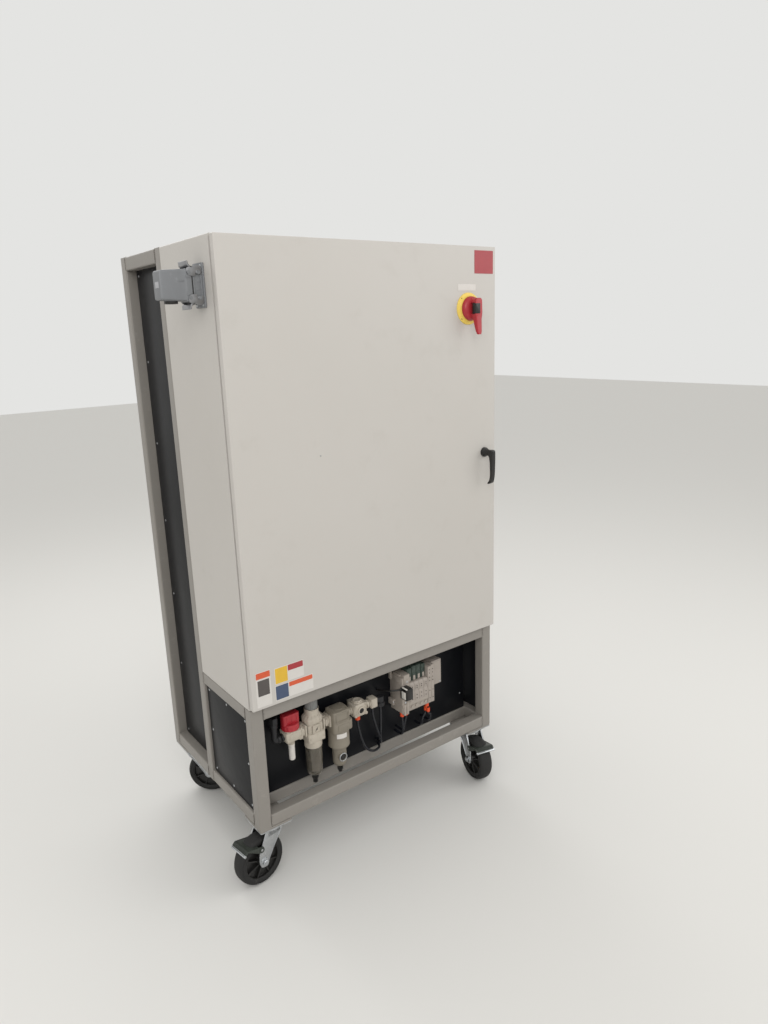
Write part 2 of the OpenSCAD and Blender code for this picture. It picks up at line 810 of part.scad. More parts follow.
// Drives in a row: flange on the plate, heat sink and stepped housing with a terminal ledge
module drives() {
    color("#55585c") place()
        for (k = [0:drive_n - 1]) translate([device_x0 + k * (drive_w + drive_gap), mp_front, drive_z])
            along_x(drive_w) device_outline(drive_d, drive_h, [
                [0, -0.05], [0, 1.05], [0.017, 1.05], [0.017, 1], [0.932, 1], [1, 0.952], [1, 0.331],
                [0.852, 0.29], [0.852, 0.069], [0.807, 0], [0.017, 0], [0.017, -0.05]]);
}

module_n = 6;
module_w = 30;
module_gap = 1;
module_d = 66;
module_h = 110;
control_x = module_n * (module_w + module_gap) + 14;
control_w = 85;
control_d = 112;
control_h = 124;
module control_modules() {
    color("#d7d8d6") place() {
        rail_row(0, module_n, module_w + module_gap, module_w, module_d, module_h, 1, [
            [0, 0], [0, 1], [0.88, 1], [1, 0.945], [1, 0.564], [0.909, 0.527], [0.909, 0.073], [0.818, 0]]);
        rail_row(control_x, 1, control_w, control_w, control_d, control_h, 1, [
            [0, 0], [0, 1], [1, 1], [1, 0.097], [0.929, 0]]);
    }
}

breaker_n = 8;
breaker_w = 17.6;
breaker_pitch = 18;
breaker_d = 74;
breaker_h = 84;
breaker_x = control_x + control_w + device_gap;
module breakers() {
    color("#e3e3e0") place() rail_row(breaker_x, breaker_n, breaker_pitch, breaker_w, breaker_d, breaker_h, 1, [
        [0, 0], [0, 1], [0.54, 1], [0.595, 0.952], [0.595, 0.786], [0.811, 0.762], [0.865, 0.667],
        [0.946, 0.595], [1, 0.524], [0.892, 0.476], [0.838, 0.262], [0.595, 0.238], [0.595, 0.048], [0.54, 0]]);
}

contactor_n = 4;
contactor_w = 45;
contactor_pitch = 48;
contactor_d = 84;
contactor_h = 80;
contactor_x = breaker_x + breaker_n * breaker_pitch + device_gap;
module contactors() {
    color("#3a3c3e") place()
        rail_row(contactor_x, contactor_n, contactor_pitch, contactor_w, contactor_d, contactor_h, 1, [
            [0, 0], [0, 1], [0.595, 1], [0.667, 0.925], [0.667, 0.775], [0.976, 0.75], [1, 0.7], [1, 0.3],
            [0.976, 0.25], [0.667, 0.225], [0.667, 0.075], [0.595, 0]]);
}

terminal_w = 12.5;
terminal_pitch = 14;
terminal_d = 48;
terminal_h = 56;
terminal_n = floor((device_x1 - device_x0 - 2 * device_gap) / terminal_pitch);
module terminal_strip() {
    color("#8c8f8e") place()
        rail_row(device_gap, terminal_n, terminal_pitch, terminal_w, terminal_d, terminal_h, 0, [
            [0, 0], [0, 1], [0.708, 1], [0.833, 0.857], [0.833, 0.714], [1, 0.679], [1, 0.321],
            [0.833, 0.286], [0.833, 0.143], [0.708, 0]]);
}

// Main switch on the mounting plate, left of the right-hand duct, with the shaft to the door's grip
switch_body_d = 78;
switch_body_left = 68;
switch_body_x1 = duct_right - duct_lip - 3;
switch_cap_d = 12;
switch_cap_h = 60;
shaft_end = 14;
main_shaft_r = 4;
module main_switch() {
    switch_front = switch_body_d + switch_cap_d;
    color("#2b2c2e") place() translate([switch_x, mp_front, switch_z]) {
        translate([-switch_body_left, -switch_body_d, -switch_body_h / 2])
            cube([switch_body_x1 - switch_x + switch_body_left, switch_body_d, switch_body_h]);
        translate([-switch_body_left + 14, -switch_front, -switch_cap_h / 2])
            cube([switch_body_left, switch_cap_d, switch_cap_h]);
        translate([0, shaft_end + seat - mp_front, 0])
            pin_y(main_shaft_r, mp_front - shaft_end - seat - switch_front);
    }
}

// ---- Connector on the left side

house_t = 5;
house_x = -28;
house_wall_w = plug_w - 12;
house_wall_h = plug_h - 30;
peg_x = -15;
peg_r = 3;
peg_z = house_wall_h / 2 - 8;
peg_out = 6;
lever_arm = 30;

module at_plug() {
    place() translate([0, plug_y, plug_z]) children();
}

// A tube of rectangular section along X, centred on the plug's axis
module bar_x(x0, x1, w, h, r) {
    translate([x0, -w / 2, -h / 2]) along_x(x1 - x0) polygon(round_rect(w, h, r));
}

module connector_housing() {
    color("#85888b") at_plug() {
        difference() {
            union() {
                bar_x(-house_t, 0, plug_w, plug_h, 5);
                bar_x(house_x, -house_t + 1, house_wall_w, house_wall_h, 6);
                for (z = [-peg_z, peg_z])
                    translate([peg_x, -house_wall_w / 2 - peg_out, z]) pin_y(peg_r, house_wall_w + 2 * peg_out);
            }
            bar_x(house_x - 1, 0, house_wall_w - 9, house_wall_h - 9, 3);
            for (y = [-1, 1], z = [-1, 1])
                translate([-house_t - 1, y * (plug_w / 2 - 9), z * (plug_h / 2 - 8)]) pin_x(2.8, house_t + 2);
        }
        bar_x(house_x + 6, 26, cut_w - 3, cut_h - 24, 2);
        for (y = [-1, 1], z = [-1, 1])
            translate([-house_t - 2.6, y * (plug_w / 2 - 9), z * (plug_h / 2 - 8)]) {
                pin_x(4.6, 2.6);
                pin_x(2.6, house_t + 1.6);
            }
    }
}

hood_w = 46;
hood_peg_x = house_x - 10;
hood_root_h = plug_h - 28;
hood_tip_h = hood_root_h - 10;
entry_x = -hood_reach + 31;
entry_r = 11;
entry_len = 22;
entry_low = -hood_tip_h / 2 - 9;

module hood_outline() {
    polygon([
        [house_x - seat, -hood_root_h / 2], [house_x - seat, hood_root_h / 2],
        [house_x - 16, hood_root_h / 2], [house_x - 30, hood_tip_h / 2 + 4],
        [-hood_reach + 10, hood_tip_h / 2], [-hood_reach + 3, hood_tip_h / 2 - 3],
        [-hood_reach, hood_tip_h / 2 - 10], [-hood_reach, -hood_tip_h / 2 + 6],
        [-hood_reach + 4, -hood_tip_h / 2], [house_x - 32, -hood_tip_h / 2 - 3],
        [house_x - 16, -hood_root_h / 2]]);
}

module connector_hood() {
    color("#8b8d90") at_plug() {
        difference() {
            union() {
                intersection() {
                    translate([0, -hood_w / 2, 0]) along_y(hood_w) hood_outline();
                    bar_x(-hood_reach - 1, house_x, hood_w, hood_root_h, 9);
                }
                translate([entry_x, 0, entry_low]) cylinder(r = entry_r + 4.5, h = 20);
                for (z = [-1, 1])
                    translate([hood_peg_x, -hood_w / 2 - 3.6, z * peg_z]) pin_y(peg_r, hood_w + 7.2);
            }
            translate([entry_x, 0, entry_low - 1]) cylinder(r = entry_r, h = entry_len + 1);
        }
    }
}

// Locking lever: two hooked arms beside the hood, joined by a grip over its end
module hood_lever(up) {
    arm_in = hood_w / 2 + 0.6;
    color("#a6a8aa") at_plug() translate([peg_x, 0, up * peg_z]) {
        for (side = [-1, 1])
            translate([0, side > 0 ? arm_in : -arm_in - 2.4, 0]) difference() {
                along_y(2.4) lever_arm_outline(up);
                translate([0, -1, 0]) pin_y(peg_r + run_gap, 5);
                translate([hood_peg_x - peg_x, -1, 0]) pin_y(peg_r + 0.2, 5);
                translate([hood_peg_x - peg_x, -1, 0]) along_y(5) polygon([
                    [-peg_r - 0.2, 0], [-peg_r - 0.2, up * -12], [peg_r + 2.2, up * -12], [peg_r + 0.2, 0]]);
            }
        translate([0, -arm_in - 2.4, 0]) along_y(2 * arm_in + 4.8) polygon([
            [-16, up * 10.6], [-30, up * 11.6], [-40, up * 16], [-40, up * 18.4],
            [-29, up * 14.4], [-16, up * 13.2]]);
    }
}

module lever_arm_outline(up) {
    polygon([
        [7, up * -5], [8, up * 4], [4, up * 9], [-16, up * 13.2], [-30, up * 14],
        [-29, up * 4], [-29, up * -3], [-26, up * -6], [-20, up * -6], [-14, up * -2],
        [-8, up * -6], [0, up * -8]]);
}

module hood_lever_upper() hood_lever(1);
module hood_lever_lower() hood_lever(-1);

// ---- Compressed-air unit in the lower bay

port_z = -port_drop;
unit_d = 56;
shut_d = 44;
// Spacers between the units, and the bracket that holds each on the panel
link_w = 19;
link_long = 27;
link_h = 38;
link_flange = 4;
link_sleeve_r = 14;
bracket_w = 12;
shut_x0 = shutoff_x - shut_w / 2;
shut_x1 = shut_x0 + shut_w;
reg_x0 = shut_x1 + link_w;
reg_x1 = reg_x0 + reg_w;
reg_x = (reg_x0 + reg_x1) / 2;
sep_x0 = reg_x1 + link_long;
sep_x1 = sep_x0 + sep_w;
sep_x = (sep_x0 + sep_x1) / 2;
tee_gap = 13;
tee_x0 = sep_x1 + tee_gap;
tee_w = 51;
tee_d = 44;
tee_low = -19;
tee_high = 21;
tee_x1 = tee_x0 + tee_w;
tee_x = (tee_x0 + tee_x1) / 2;
end_x0 = tee_x1 + 20;
end_w = 24;
end_h = 30;
end_x1 = end_x0 + end_w;

module at_unit(x, z) {
    place() translate([x, unit_y, z]) children();
}

module unit_block(w, d, low, high, r) {
    translate([-w / 2, -d / 2, low]) block([w, d, high - low], r);
}

inlet_r = 6.5;
module air_inlet() {
    color("#2a2a2b") at_unit(shut_x0, port_z) difference() {
        union() {
            translate([-14, 0, 0]) pin_x(9, 14);
            translate([-6, 0, 0]) rotate([0, 90, 0]) cylinder(r = 13, h = 6, $fn = 6);
            translate([-14, 0, 14]) rotate([-90, 0, 0]) rotate([0, 0, 90])
                rotate_extrude(angle = 90) translate([14, 0]) circle(r = 9);
            translate([-28, 0, 14]) cylinder(r = 9, h = 40);
            translate([-28, 0, 54]) cylinder(r = 14, h = 20, $fn = 6);
        }
        translate([-28, 0, 46]) cylinder(r = inlet_r, h = 30);
    }
}

shut_low = -12;
shut_high = 18;
shut_neck = -30;
shut_lug_r = 5;
module shutoff_body() {
    color(off_white) at_unit(shutoff_x, port_z) {
        unit_block(shut_w, shut_d, shut_low, shut_high, 6);
        unit_block(shut_w - 8, shut_d - 6, shut_high - 1, shut_high + 4, 8);
        translate([0, 0, shut_neck]) cylinder(r = 11, h = shut_low - shut_neck + 1);
        for (side = [-1, 1])
            translate([side * (shut_w / 2 - 6), -shut_d / 2 - 2, shut_low + 3]) pin_y(shut_lug_r, shut_d - 8);
    }
}

// Red knob of the shut-off valve: round skirt and a cross grip with hand scoops
shut_knob_r = 27.5;
module shutoff_knob() {
    color("#c8232f") at_unit(shutoff_x, port_z + shut_high + 4 + seat) {
        cylinder(r = shut_knob_r, h = 14);
        translate([0, 0, 13]) cylinder(r1 = shut_knob_r, r2 = shut_knob_r - 3, h = 6);
        difference() {
            translate([0, 0, 18]) cylinder(r = shut_knob_r - 3, h = 31);
            for (side = [-1, 1])
                translate([-30, side > 0 ? 11 : -41, 17]) cube([60, 30, 40]);
            translate([0, -20, 38]) pin_y(4, 40);
        }
    }
}

module silencer() {
    color("#e6e3db") at_unit(shutoff_x, port_z + shut_neck) rotate([180, 0, 0]) rotate_extrude() polygon([
        [0, 0], [10, 0], [10, 7], [8.4, 9], [9.4, 11], [9.4, 47], [8.4, 51], [5, 53], [0, 53]]);
}

// Spacer: sleeve between two flanges, with a bracket back to the panel and a clamping screw in front
module link(x0, x1) {
    translate([x0, unit_y, port_z]) pin_x(link_sleeve_r, x1 - x0);
    for (x = [x0, x1 - link_flange])
        translate([x, unit_y - link_h / 2, port_z - link_h / 2]) cube([link_flange, link_h, link_h]);
    translate([(x0 + x1 - bracket_w) / 2, unit_y, port_z - link_h / 2 + 2])
        cube([bracket_w, unit_panel_y - unit_y, link_h - 4]);
    translate([(x0 + x1) / 2, unit_y - link_h / 2 - 1, port_z]) pin_y(min(4, (x1 - x0) / 2 - link_flange - seat), 12);
}

// Porting tee: body with a round cover above, a threaded port in front, and a bracket to the panel
tee_port_r = 8;
module porting_tee() {
    difference() {
        union() {
            unit_block(tee_w, tee_d, tee_low, tee_high, 12);
            translate([0, 0, tee_high - 1]) cylinder(r = 15, h = 9);
            translate([0, -tee_d / 2 - 4, 0]) pin_y(13, 6);
            translate([-tee_w / 2 - tee_gap, 0, 0]) pin_x(13, tee_gap + 1);
            translate([-tee_w / 4, 0, -15]) cube([tee_w / 2, unit_panel_y - unit_y, 30]);
        }
        translate([0, -tee_d / 2 - 5, 0]) pin_y(tee_port_r, 14);
    }
}

module link_blocks() {
    color(off_white) {
        place() {
            link(shut_x1, reg_x0);
            link(reg_x1, sep_x0);
        }
        at_unit(tee_x, port_z) porting_tee();
        at_unit(tee_x1, port_z) {
            translate([-1, 0, 0]) pin_x(10, end_x0 - tee_x1 + 2);
            translate([(end_x0 - tee_x1) / 2 - 3, 0, 0]) pin_x(14, 6);
            translate([end_x0 - tee_x1, -end_h / 2, -end_h / 2]) cube([end_w, end_h, end_h]);
        }
    }
}

gauge_w = 29;
collar_low = -40;
bonnet_z = 62;
bonnet_r = 20;
module regulator_body() {
    color(off_white) at_unit(reg_x, port_z) {
        unit_block(reg_w, unit_d, collar_low, -12, 8);
        unit_block(reg_w - 7, unit_d - 8, -13, 16, 8);
        unit_block(reg_w - 3, unit_d - 5, 15, 36, 12);
        translate([0, 0, 35]) cylinder(r1 = reg_w / 2 - 5, r2 = bonnet_r, h = 10);
        translate([0, 0, 44]) cylinder(r = bonnet_r, h = bonnet_z - 44);
        translate([-gauge_w / 2, -unit_d / 2 - 1, -13]) cube([gauge_w, 8, gauge_w]);
    }
}

// Adjusting knob: ribbed skirt and a domed top
reg_knob_r = 19.5;
rib_n = 18;
module regulator_knob() {
    color("#8d8f90") at_unit(reg_x, port_z + bonnet_z + seat) difference() {
        rotate_extrude() polygon([
            [0, 0], [reg_knob_r, 0], [reg_knob_r, 29], [reg_knob_r - 2, 34], [reg_knob_r - 8, 37], [0, 37.5]]);
        for (k = [0:rib_n - 1]) rotate([0, 0, k * 360 / rib_n])
            translate([reg_knob_r + 0.9, 0, 4]) cylinder(r = 1.7, h = 24, $fn = 16);
    }
}

bowl_r = unit_d / 2 - 1;
bowl_len = 120;
module regulator_bowl() {
    color("#cfd4d6") at_unit(reg_x, port_z + collar_low) rotate([180, 0, 0]) rotate_extrude() polygon([
        [bowl_r - 4, 0], [bowl_r, 0], [bowl_r, 22], [bowl_r - 1.5, 24], [bowl_r - 2.5, bowl_len - 14],
        [bowl_r - 5, bowl_len - 4], [bowl_r - 10, bowl_len], [0, bowl_len], [0, bowl_len - 5],
        [bowl_r - 11, bowl_len - 5], [bowl_r - 6.5, bowl_len - 15], [bowl_r - 5, 26]]);
}

sep_d = unit_d + 12;
head_low = -39;
head_high = 31;
// Head of the mist separator: broad foot, and an upper part with its right side set in
module separator_head() {
    color("#98917f") at_unit(sep_x, port_z) {
        unit_block(sep_w, sep_d, head_low, -8, 12);
        translate([-sep_w / 2, -sep_d / 2, -9]) block([sep_w - 9, sep_d, head_high + 9], 12);
        translate([0, 0, head_high - 1]) cylinder(r1 = 24, r2 = 21, h = 7);
    }
}

sep_bowl_r = sep_w / 2 - 1;
sight_r = 13;
cup_len = 131;
cup_r_low = 22;
// Bowl of the mist separator: wide case, narrow cup below, and a round sight glass in front
module separator_bowl() {
    color("#98917f") at_unit(sep_x, port_z + head_low) {
        rotate([180, 0, 0]) rotate_extrude() polygon([
            [0, 0], [sep_bowl_r, 0], [sep_bowl_r, 56], [sep_bowl_r - 5, 61], [cup_r_low + 3, 62],
            [cup_r_low, 66], [cup_r_low, cup_len - 10], [cup_r_low - 8, cup_len], [0, cup_len]]);
        translate([0, -cup_r_low - 4, -91]) pin_y(sight_r, cup_r_low + 4);
    }
}

drain_len = 31;
sep_drain_len = 24;
module drain_cocks() {
    color("#222222") {
        at_unit(reg_x, port_z + collar_low - bowl_len - drain_len) {
            cylinder(r = 8, h = drain_len);
            translate([0, 0, 6]) cylinder(r = 10.5, h = drain_len - 10);
        }
        at_unit(sep_x, port_z + head_low - cup_len - sep_drain_len) {
            cylinder(r = 6.5, h = sep_drain_len);
            translate([0, 0, 6]) cylinder(r = 9, h = sep_drain_len - 10);
        }
    }
}

// ---- Valve manifold

valve_pitch = valve_w + 0.7;
end_block_w = 8;
end_block_low = -200;
end_block_high = -102;
inlet_w = 23;
inlet_high = -108;
screw_w = 24;
screw_low = -125;
screw_high = -92;
inlet_x0 = manifold_x + end_block_w;
inlet_x1 = inlet_x0 + inlet_w;
valve_x0 = inlet_x1 + 1;
valve_x1 = valve_x0 + valve_n * valve_pitch;
tall_w = 27;
tall_x1 = valve_x1 + tall_w;
cover_w = 42;
cover_low = -176;
cover_high = -89;
cover_x1 = tall_x1 + cover_w;
base_low = -228;
base_high = -196;
valve_high = -130;
coil_high = -80;
tall_high = -94;
base_front = unit_y - 26;
base_back = unit_panel_y - 10;
fit_r = 7;
fit_step = 2 * fit_r + 2;
fit_left = manifold_x + 9;
fit_x = [fit_left, fit_left + fit_step];
fit_len = 18;
// Double fitting at the right: a round body that divides into two sleeves, one behind the other
double_x = tall_x1 - 21;
double_len = 34;
double_step = 13;
tube_r_air = air_tube_d / 2;
tube_low = -322;
tube_bend = 18;
tube_y = base_front + 16;

module manifold_base() {
    color(off_white) place() {
        translate([manifold_x + 1, 0, 0]) along_x(tall_x1 - manifold_x - 1) polygon([
            [base_front + 3, base_low], [unit_panel_y, base_low], [unit_panel_y, base_high],
            [base_front, base_high], [base_front, base_low + 22], [base_front + 3, base_low + 18]]);
        translate([manifold_x, base_front + 1, end_block_low])
            cube([end_block_w, unit_panel_y - base_front - 1, end_block_high - end_block_low]);
        translate([inlet_x0 - 1, base_front + 1, base_high - 1])
            cube([inlet_w + 1, base_back - base_front - 1, inlet_high - base_high + 1]);
        translate([inlet_x1 - screw_w, base_front - 1, screw_low])
            cube([screw_w, base_back - base_front, screw_high - screw_low]);
        translate([inlet_x1 - screw_w / 2, base_front - 3, screw_high - 25]) pin_y(5, 4);
    }
}

// Side view of one valve: slotted front, and the coil part set back above it
module valve_outline() {
    polygon([
        [base_front, base_high], [base_back, base_high], [base_back, coil_high],
        [base_front + 16, coil_high], [base_front + 13, coil_high - 4], [base_front + 13, valve_high],
        [base_front + 5, valve_high], [base_front, valve_high - 7], [base_front, base_high + 38],
        [base_front + 1.5, base_high + 36], [base_front + 1.5, base_high + 31], [base_front, base_high + 29]]);
}

module valves() {
    color("#dcd6c8") place() {
        for (k = [0:valve_n - 1]) translate([valve_x0 + k * valve_pitch, 0, 0]) along_x(valve_w) valve_outline();
        translate([valve_x1, base_front, base_high]) cube([tall_w, base_back - base_front, tall_high - base_high]);
        translate([tall_x1 - 1, base_front + 13, cover_low])
            cube([cover_w + 1, base_back - base_front - 13, cover_high - cover_low]);
    }
}

// Square plug in front of the inlet block, with its lead to the left and back to the panel
plug_block = [28, 32, 38];
plug_x0 = manifold_x - 8;
plug_block_z = -166;
lead_r = 3;
lead_y = base_front - lead_r - 2;
lead_z = plug_block_z + plug_block[2] - lead_r - 1.5;
lead_x = plug_x0 - 10;
module manifold_plug() {
    color("#1d1d1e") place() {
        translate([plug_x0, base_front - plug_block[1], plug_block_z])
            cube([plug_block[0], plug_block[1] + 1, plug_block[2]]);
        translate([lead_x, lead_y, lead_z]) pin_x(lead_r, plug_x0 - lead_x + 1);
        translate([plug_x0 - 6, lead_y, lead_z]) pin_x(lead_r + 1, 7);
        translate([lead_x, lead_y + tube_bend, lead_z]) rotate([0, 0, 180])
            rotate_extrude(angle = 90) translate([tube_bend, 0]) circle(r = lead_r);
        translate([lead_x - tube_bend, lead_y + tube_bend, lead_z])
            pin_y(lead_r, unit_panel_y - lead_y - tube_bend);
    }
}

// Push-in fitting that points down from the height given
module fitting(high, len, r) {
    translate([0, 0, high - len]) difference() {
        union() {
            translate([0, 0, len - 7]) cylinder(r = r + 1, h = 7, $fn = 6);
            cylinder(r = r, h = len - 6);
        }
        translate([0, 0, -1]) cylinder(r = tube_r_air + 0.05, h = 9);
    }
}

module double_fitting() {
    difference() {
        union() {
            translate([0, 0, -7]) cylinder(r = fit_r + 1, h = 7, $fn = 6);
            translate([0, 0, -double_len + 12]) cylinder(r = fit_r, h = double_len - 13);
            for (side = [-1, 1]) translate([0, side * double_step / 2, -double_len]) cylinder(r = 6, h = 15);
        }
        for (side = [-1, 1]) translate([0, side * double_step / 2, -double_len - 1])
            cylinder(r = tube_r_air + 0.05, h = 9);
    }
}

module air_fittings() {
    color("#e2592b") {
        place() {
            for (x = fit_x) translate([x, tube_y, 0]) fitting(base_low, fit_len, fit_r);
            translate([double_x, tube_y, base_low]) double_fitting();
        }
        at_unit(tee_x, port_z) fitting(tee_low, 22, 8);
    }
}

// Air tubes: straight down from each fitting, then round a bend to the rear and into the panel
module drop_tube(x, y, high, low) {
    translate([x, y, low + tube_bend]) cylinder(r = tube_r_air, h = high - low - tube_bend);
    translate([x, y + tube_bend, low + tube_bend]) rotate([90, 0, 90]) rotate([0, 0, 180])
        rotate_extrude(angle = 90) translate([tube_bend, 0]) circle(r = tube_r_air);
    translate([x, y + tube_bend, low]) pin_y(tube_r_air, unit_panel_y - y - tube_bend);
}

end_collar = 12;
hose_x = end_x1 + end_collar + tube_bend;
module air_tubes() {
    color("#141518") place() {
        for (k = [0:len(fit_x) - 1])
            drop_tube(fit_x[k], tube_y, base_low - fit_len + 8 - seat, tube_low + k * 14);
        for (k = [0, 1])
            drop_tube(double_x, tube_y + (k - 0.5) * double_step, base_low - double_len + 8 - seat, tube_low + k * 14);
        drop_tube(tee_x, unit_y, port_z + tee_low - 14 - seat, tube_low + 6);
        translate([end_x1, unit_y, port_z]) pin_x(10, end_collar);
        translate([end_x1 + end_collar, unit_y, port_z - tube_bend]) rotate([90, 0, 0])
            rotate_extrude(angle = 90) translate([tube_bend, 0]) circle(r = tube_r_air);
        drop_tube(hose_x, unit_y, port_z - tube_bend, tube_low + 20);
    }
}

stand_posts();
cross_rails();
side_rails();
castor_pads();
castor_plates();
fork_front_left();
fork_front_right();
fork_rear_left();
fork_rear_right();
wheel_front_left();
wheel_front_right();
wheel_rear_left();
wheel_rear_right();
brake_front_left();
brake_front_right();
bay_side_panels();
unit_panel();
rear_panels();
enclosure_body();
latch_flanges();
mounting_plate();
hinge_seats();
roof_plugs();
door();
door_gasket();
door_stiffeners();
hinge_leaves();
handle_base();
handle_lever();
latch_cam();
switch_plate();
switch_knob();
main_switch();
wire_ducts();
din_rails();
drives();
control_modules();
breakers();
contactors();
terminal_strip();
connector_housing();
connector_hood();
hood_lever_upper();
hood_lever_lower();
air_inlet();
shutoff_body();
shutoff_knob();
silencer();
link_blocks();
regulator_body();
regulator_knob();
regulator_bowl();
separator_head();
separator_bowl();
drain_cocks();
manifold_base();
valves();
manifold_plug();
air_fittings();
air_tubes();
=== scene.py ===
import json
import math

import bmesh
import bpy
from mathutils import Matrix, Vector


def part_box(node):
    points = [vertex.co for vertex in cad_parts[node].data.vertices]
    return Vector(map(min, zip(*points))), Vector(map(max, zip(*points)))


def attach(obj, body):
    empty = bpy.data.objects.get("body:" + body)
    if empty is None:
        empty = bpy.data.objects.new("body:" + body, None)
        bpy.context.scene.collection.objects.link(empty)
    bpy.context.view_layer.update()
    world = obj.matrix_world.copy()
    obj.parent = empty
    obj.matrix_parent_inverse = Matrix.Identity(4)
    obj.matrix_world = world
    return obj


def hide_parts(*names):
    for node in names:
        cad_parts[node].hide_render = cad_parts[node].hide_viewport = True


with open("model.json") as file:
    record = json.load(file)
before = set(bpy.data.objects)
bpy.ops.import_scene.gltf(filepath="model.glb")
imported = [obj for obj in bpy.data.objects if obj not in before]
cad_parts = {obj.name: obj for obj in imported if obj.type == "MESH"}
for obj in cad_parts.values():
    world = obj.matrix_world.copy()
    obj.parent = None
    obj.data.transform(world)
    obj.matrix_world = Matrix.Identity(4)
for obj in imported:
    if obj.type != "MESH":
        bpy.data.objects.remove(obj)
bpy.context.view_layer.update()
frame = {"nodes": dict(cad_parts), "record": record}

# The door's lower left front corner is the zero of every length below, in millimetres
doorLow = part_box("door")[0]
zeroPoint = Vector((doorLow.x - 0.001, doorLow.y, doorLow.z))
sides = (-1, 1)


def place(x, y, z):
    return zeroPoint + Vector((x, y, z)) * 0.001


def addObject(name, data):
    thing = bpy.data.objects.new(name, data)
    bpy.context.scene.collection.objects.link(thing)
    return thing


# Camera, fitted to the straight edges of the cabinet
cameraSet = {"at": (-753.0, -1636.1, 992.1), "yaw": 0.63893, "pitch": 0.24766, "roll": -0.03425, "lens": 25.474}


def setCamera(settings):
    yaw, pitch, roll = settings["yaw"], settings["pitch"], settings["roll"]
    ahead = Vector((math.sin(yaw) * math.cos(pitch), math.cos(yaw) * math.cos(pitch), -math.sin(pitch)))
    right = Vector((math.cos(yaw), -math.sin(yaw), 0))
    up = right.cross(ahead)
    rightRolled = right * math.cos(roll) + up * math.sin(roll)
    upRolled = up * math.cos(roll) - right * math.sin(roll)
    data = bpy.data.cameras.new("photoView")
    data.lens, data.sensor_width, data.sensor_fit = settings["lens"], 36, "AUTO"
    data.clip_start, data.clip_end = 0.05, 60
    camera = addObject("photoView", data)
    turned = Matrix((rightRolled, upRolled, -ahead)).transposed().to_4x4()
    camera.matrix_world = Matrix.Translation(place(*settings["at"])) @ turned
    bpy.context.scene.camera = camera


setCamera(cameraSet)

# Studio: pale floor, pale surroundings and three large soft lamps, each with its spot, size and power
studioSet = {"floor": "#D9D8D5", "floorRough": 0.85, "reach": 16, "around": "#E4E4E2", "light": "#F4F3F0", "fill": 0.9,
             "aim": (0, 0, 0.9),
             "lamps": [((-1.9, -2.9, 3.1), 2.6, 50), ((2.6, -2.4, 2.5), 2.2, 24), ((0.2, 1.9, 3.4), 2.4, 34)]}


# A colour code as linear colour
def tone(code):
    parts = [int(code[i:i + 2], 16) / 255 for i in (1, 3, 5)]
    return tuple(p / 12.92 if p <= 0.04045 else ((p + 0.055) / 1.055) ** 2.4 for p in parts) + (1.0,)


def addNode(tree, kind, settings=None, links=None):
    node = tree.nodes.new(kind)
    for key, value in (settings or {}).items():
        if isinstance(key, int) or key in node.inputs:
            node.inputs[key].default_value = value
        else:
            setattr(node, key, value)
    for key, source in (links or {}).items():
        tree.links.new(source, node.inputs[key])
    return node


def setStudio(settings):
    world = bpy.data.worlds.new("studio")
    bpy.context.scene.world = world
    world.use_nodes = True
    tree = world.node_tree
    tree.nodes.clear()
    path = addNode(tree, "ShaderNodeLightPath").outputs
    seen = addNode(tree, "ShaderNodeMath", {"operation": "MAXIMUM"},
                   {0: path["Is Camera Ray"], 1: path["Is Transmission Ray"]})
    light, back = [addNode(tree, "ShaderNodeBackground", {"Color": tone(settings[key]), "Strength": strength})
                   for key, strength in (("light", settings["fill"]), ("around", 1.0))]
    mixed = addNode(tree, "ShaderNodeMixShader", None,
                    {0: seen.outputs[0], 1: light.outputs[0], 2: back.outputs[0]})
    addNode(tree, "ShaderNodeOutputWorld", None, {"Surface": mixed.outputs[0]})
    for number, (spot, size, power) in enumerate(settings["lamps"]):
        data = bpy.data.lights.new(f"softLamp{number}", "AREA")
        data.shape, data.size, data.energy = "SQUARE", size, power
        turned = (Vector(settings["aim"]) - Vector(spot)).to_track_quat("-Z", "Y").to_matrix().to_4x4()
        addObject(data.name, data).matrix_world = Matrix.Translation(spot) @ turned
    mesh = bpy.data.meshes.new("studioFloor")
    reach = settings["reach"]
    mesh.from_pydata([(-reach, -reach, 0), (reach, -reach, 0), (reach, reach, 0), (-reach, reach, 0)], [],
                     [(0, 1, 2, 3)])
    material = bpy.data.materials.new("paleStudioFloor")
    material.use_nodes = True
    inputs = material.node_tree.nodes["Principled BSDF"].inputs
    inputs["Base Color"].default_value = tone(settings["floor"])
    inputs["Roughness"].default_value = settings["floorRough"]
    mesh.materials.append(material)
    addObject("studioFloor", mesh)


setStudio(studioSet)
bpy.context.scene.view_settings.view_transform = "Standard"
print("camera and studio set")


# Finishes. Grain sizes are in millimetres; Object coordinates are in metres.
def noise(tree, spot, size, detail, rough=0.5):
    settings = {"Scale": 1000.0 / size, "Detail": detail, "Roughness": rough}
    return addNode(tree, "ShaderNodeTexNoise", settings, {"Vector": spot}).outputs["Fac"]


def mixColours(tree, factor, first, second):
    node = addNode(tree, "ShaderNodeMix", {"data_type": "RGBA", 7: tone(second)}, {0: factor})
    if isinstance(first, str):
        node.inputs[6].default_value = tone(first)
    else:
        tree.links.new(first, node.inputs[6])
    return node.outputs[2]


def ramp(tree, value, settings):
    return addNode(tree, "ShaderNodeMapRange", settings, {"Value": value}).outputs[0]


def startFinish(name, settings):
    material = bpy.data.materials.new(name)
    material.use_nodes = True
    tree = material.node_tree
    shader = tree.nodes["Principled BSDF"]
    for key, value in settings.items():
        if key in shader.inputs:
            shader.inputs[key].default_value = value
    return material, tree, shader, addNode(tree, "ShaderNodeTexCoord").outputs["Object"]


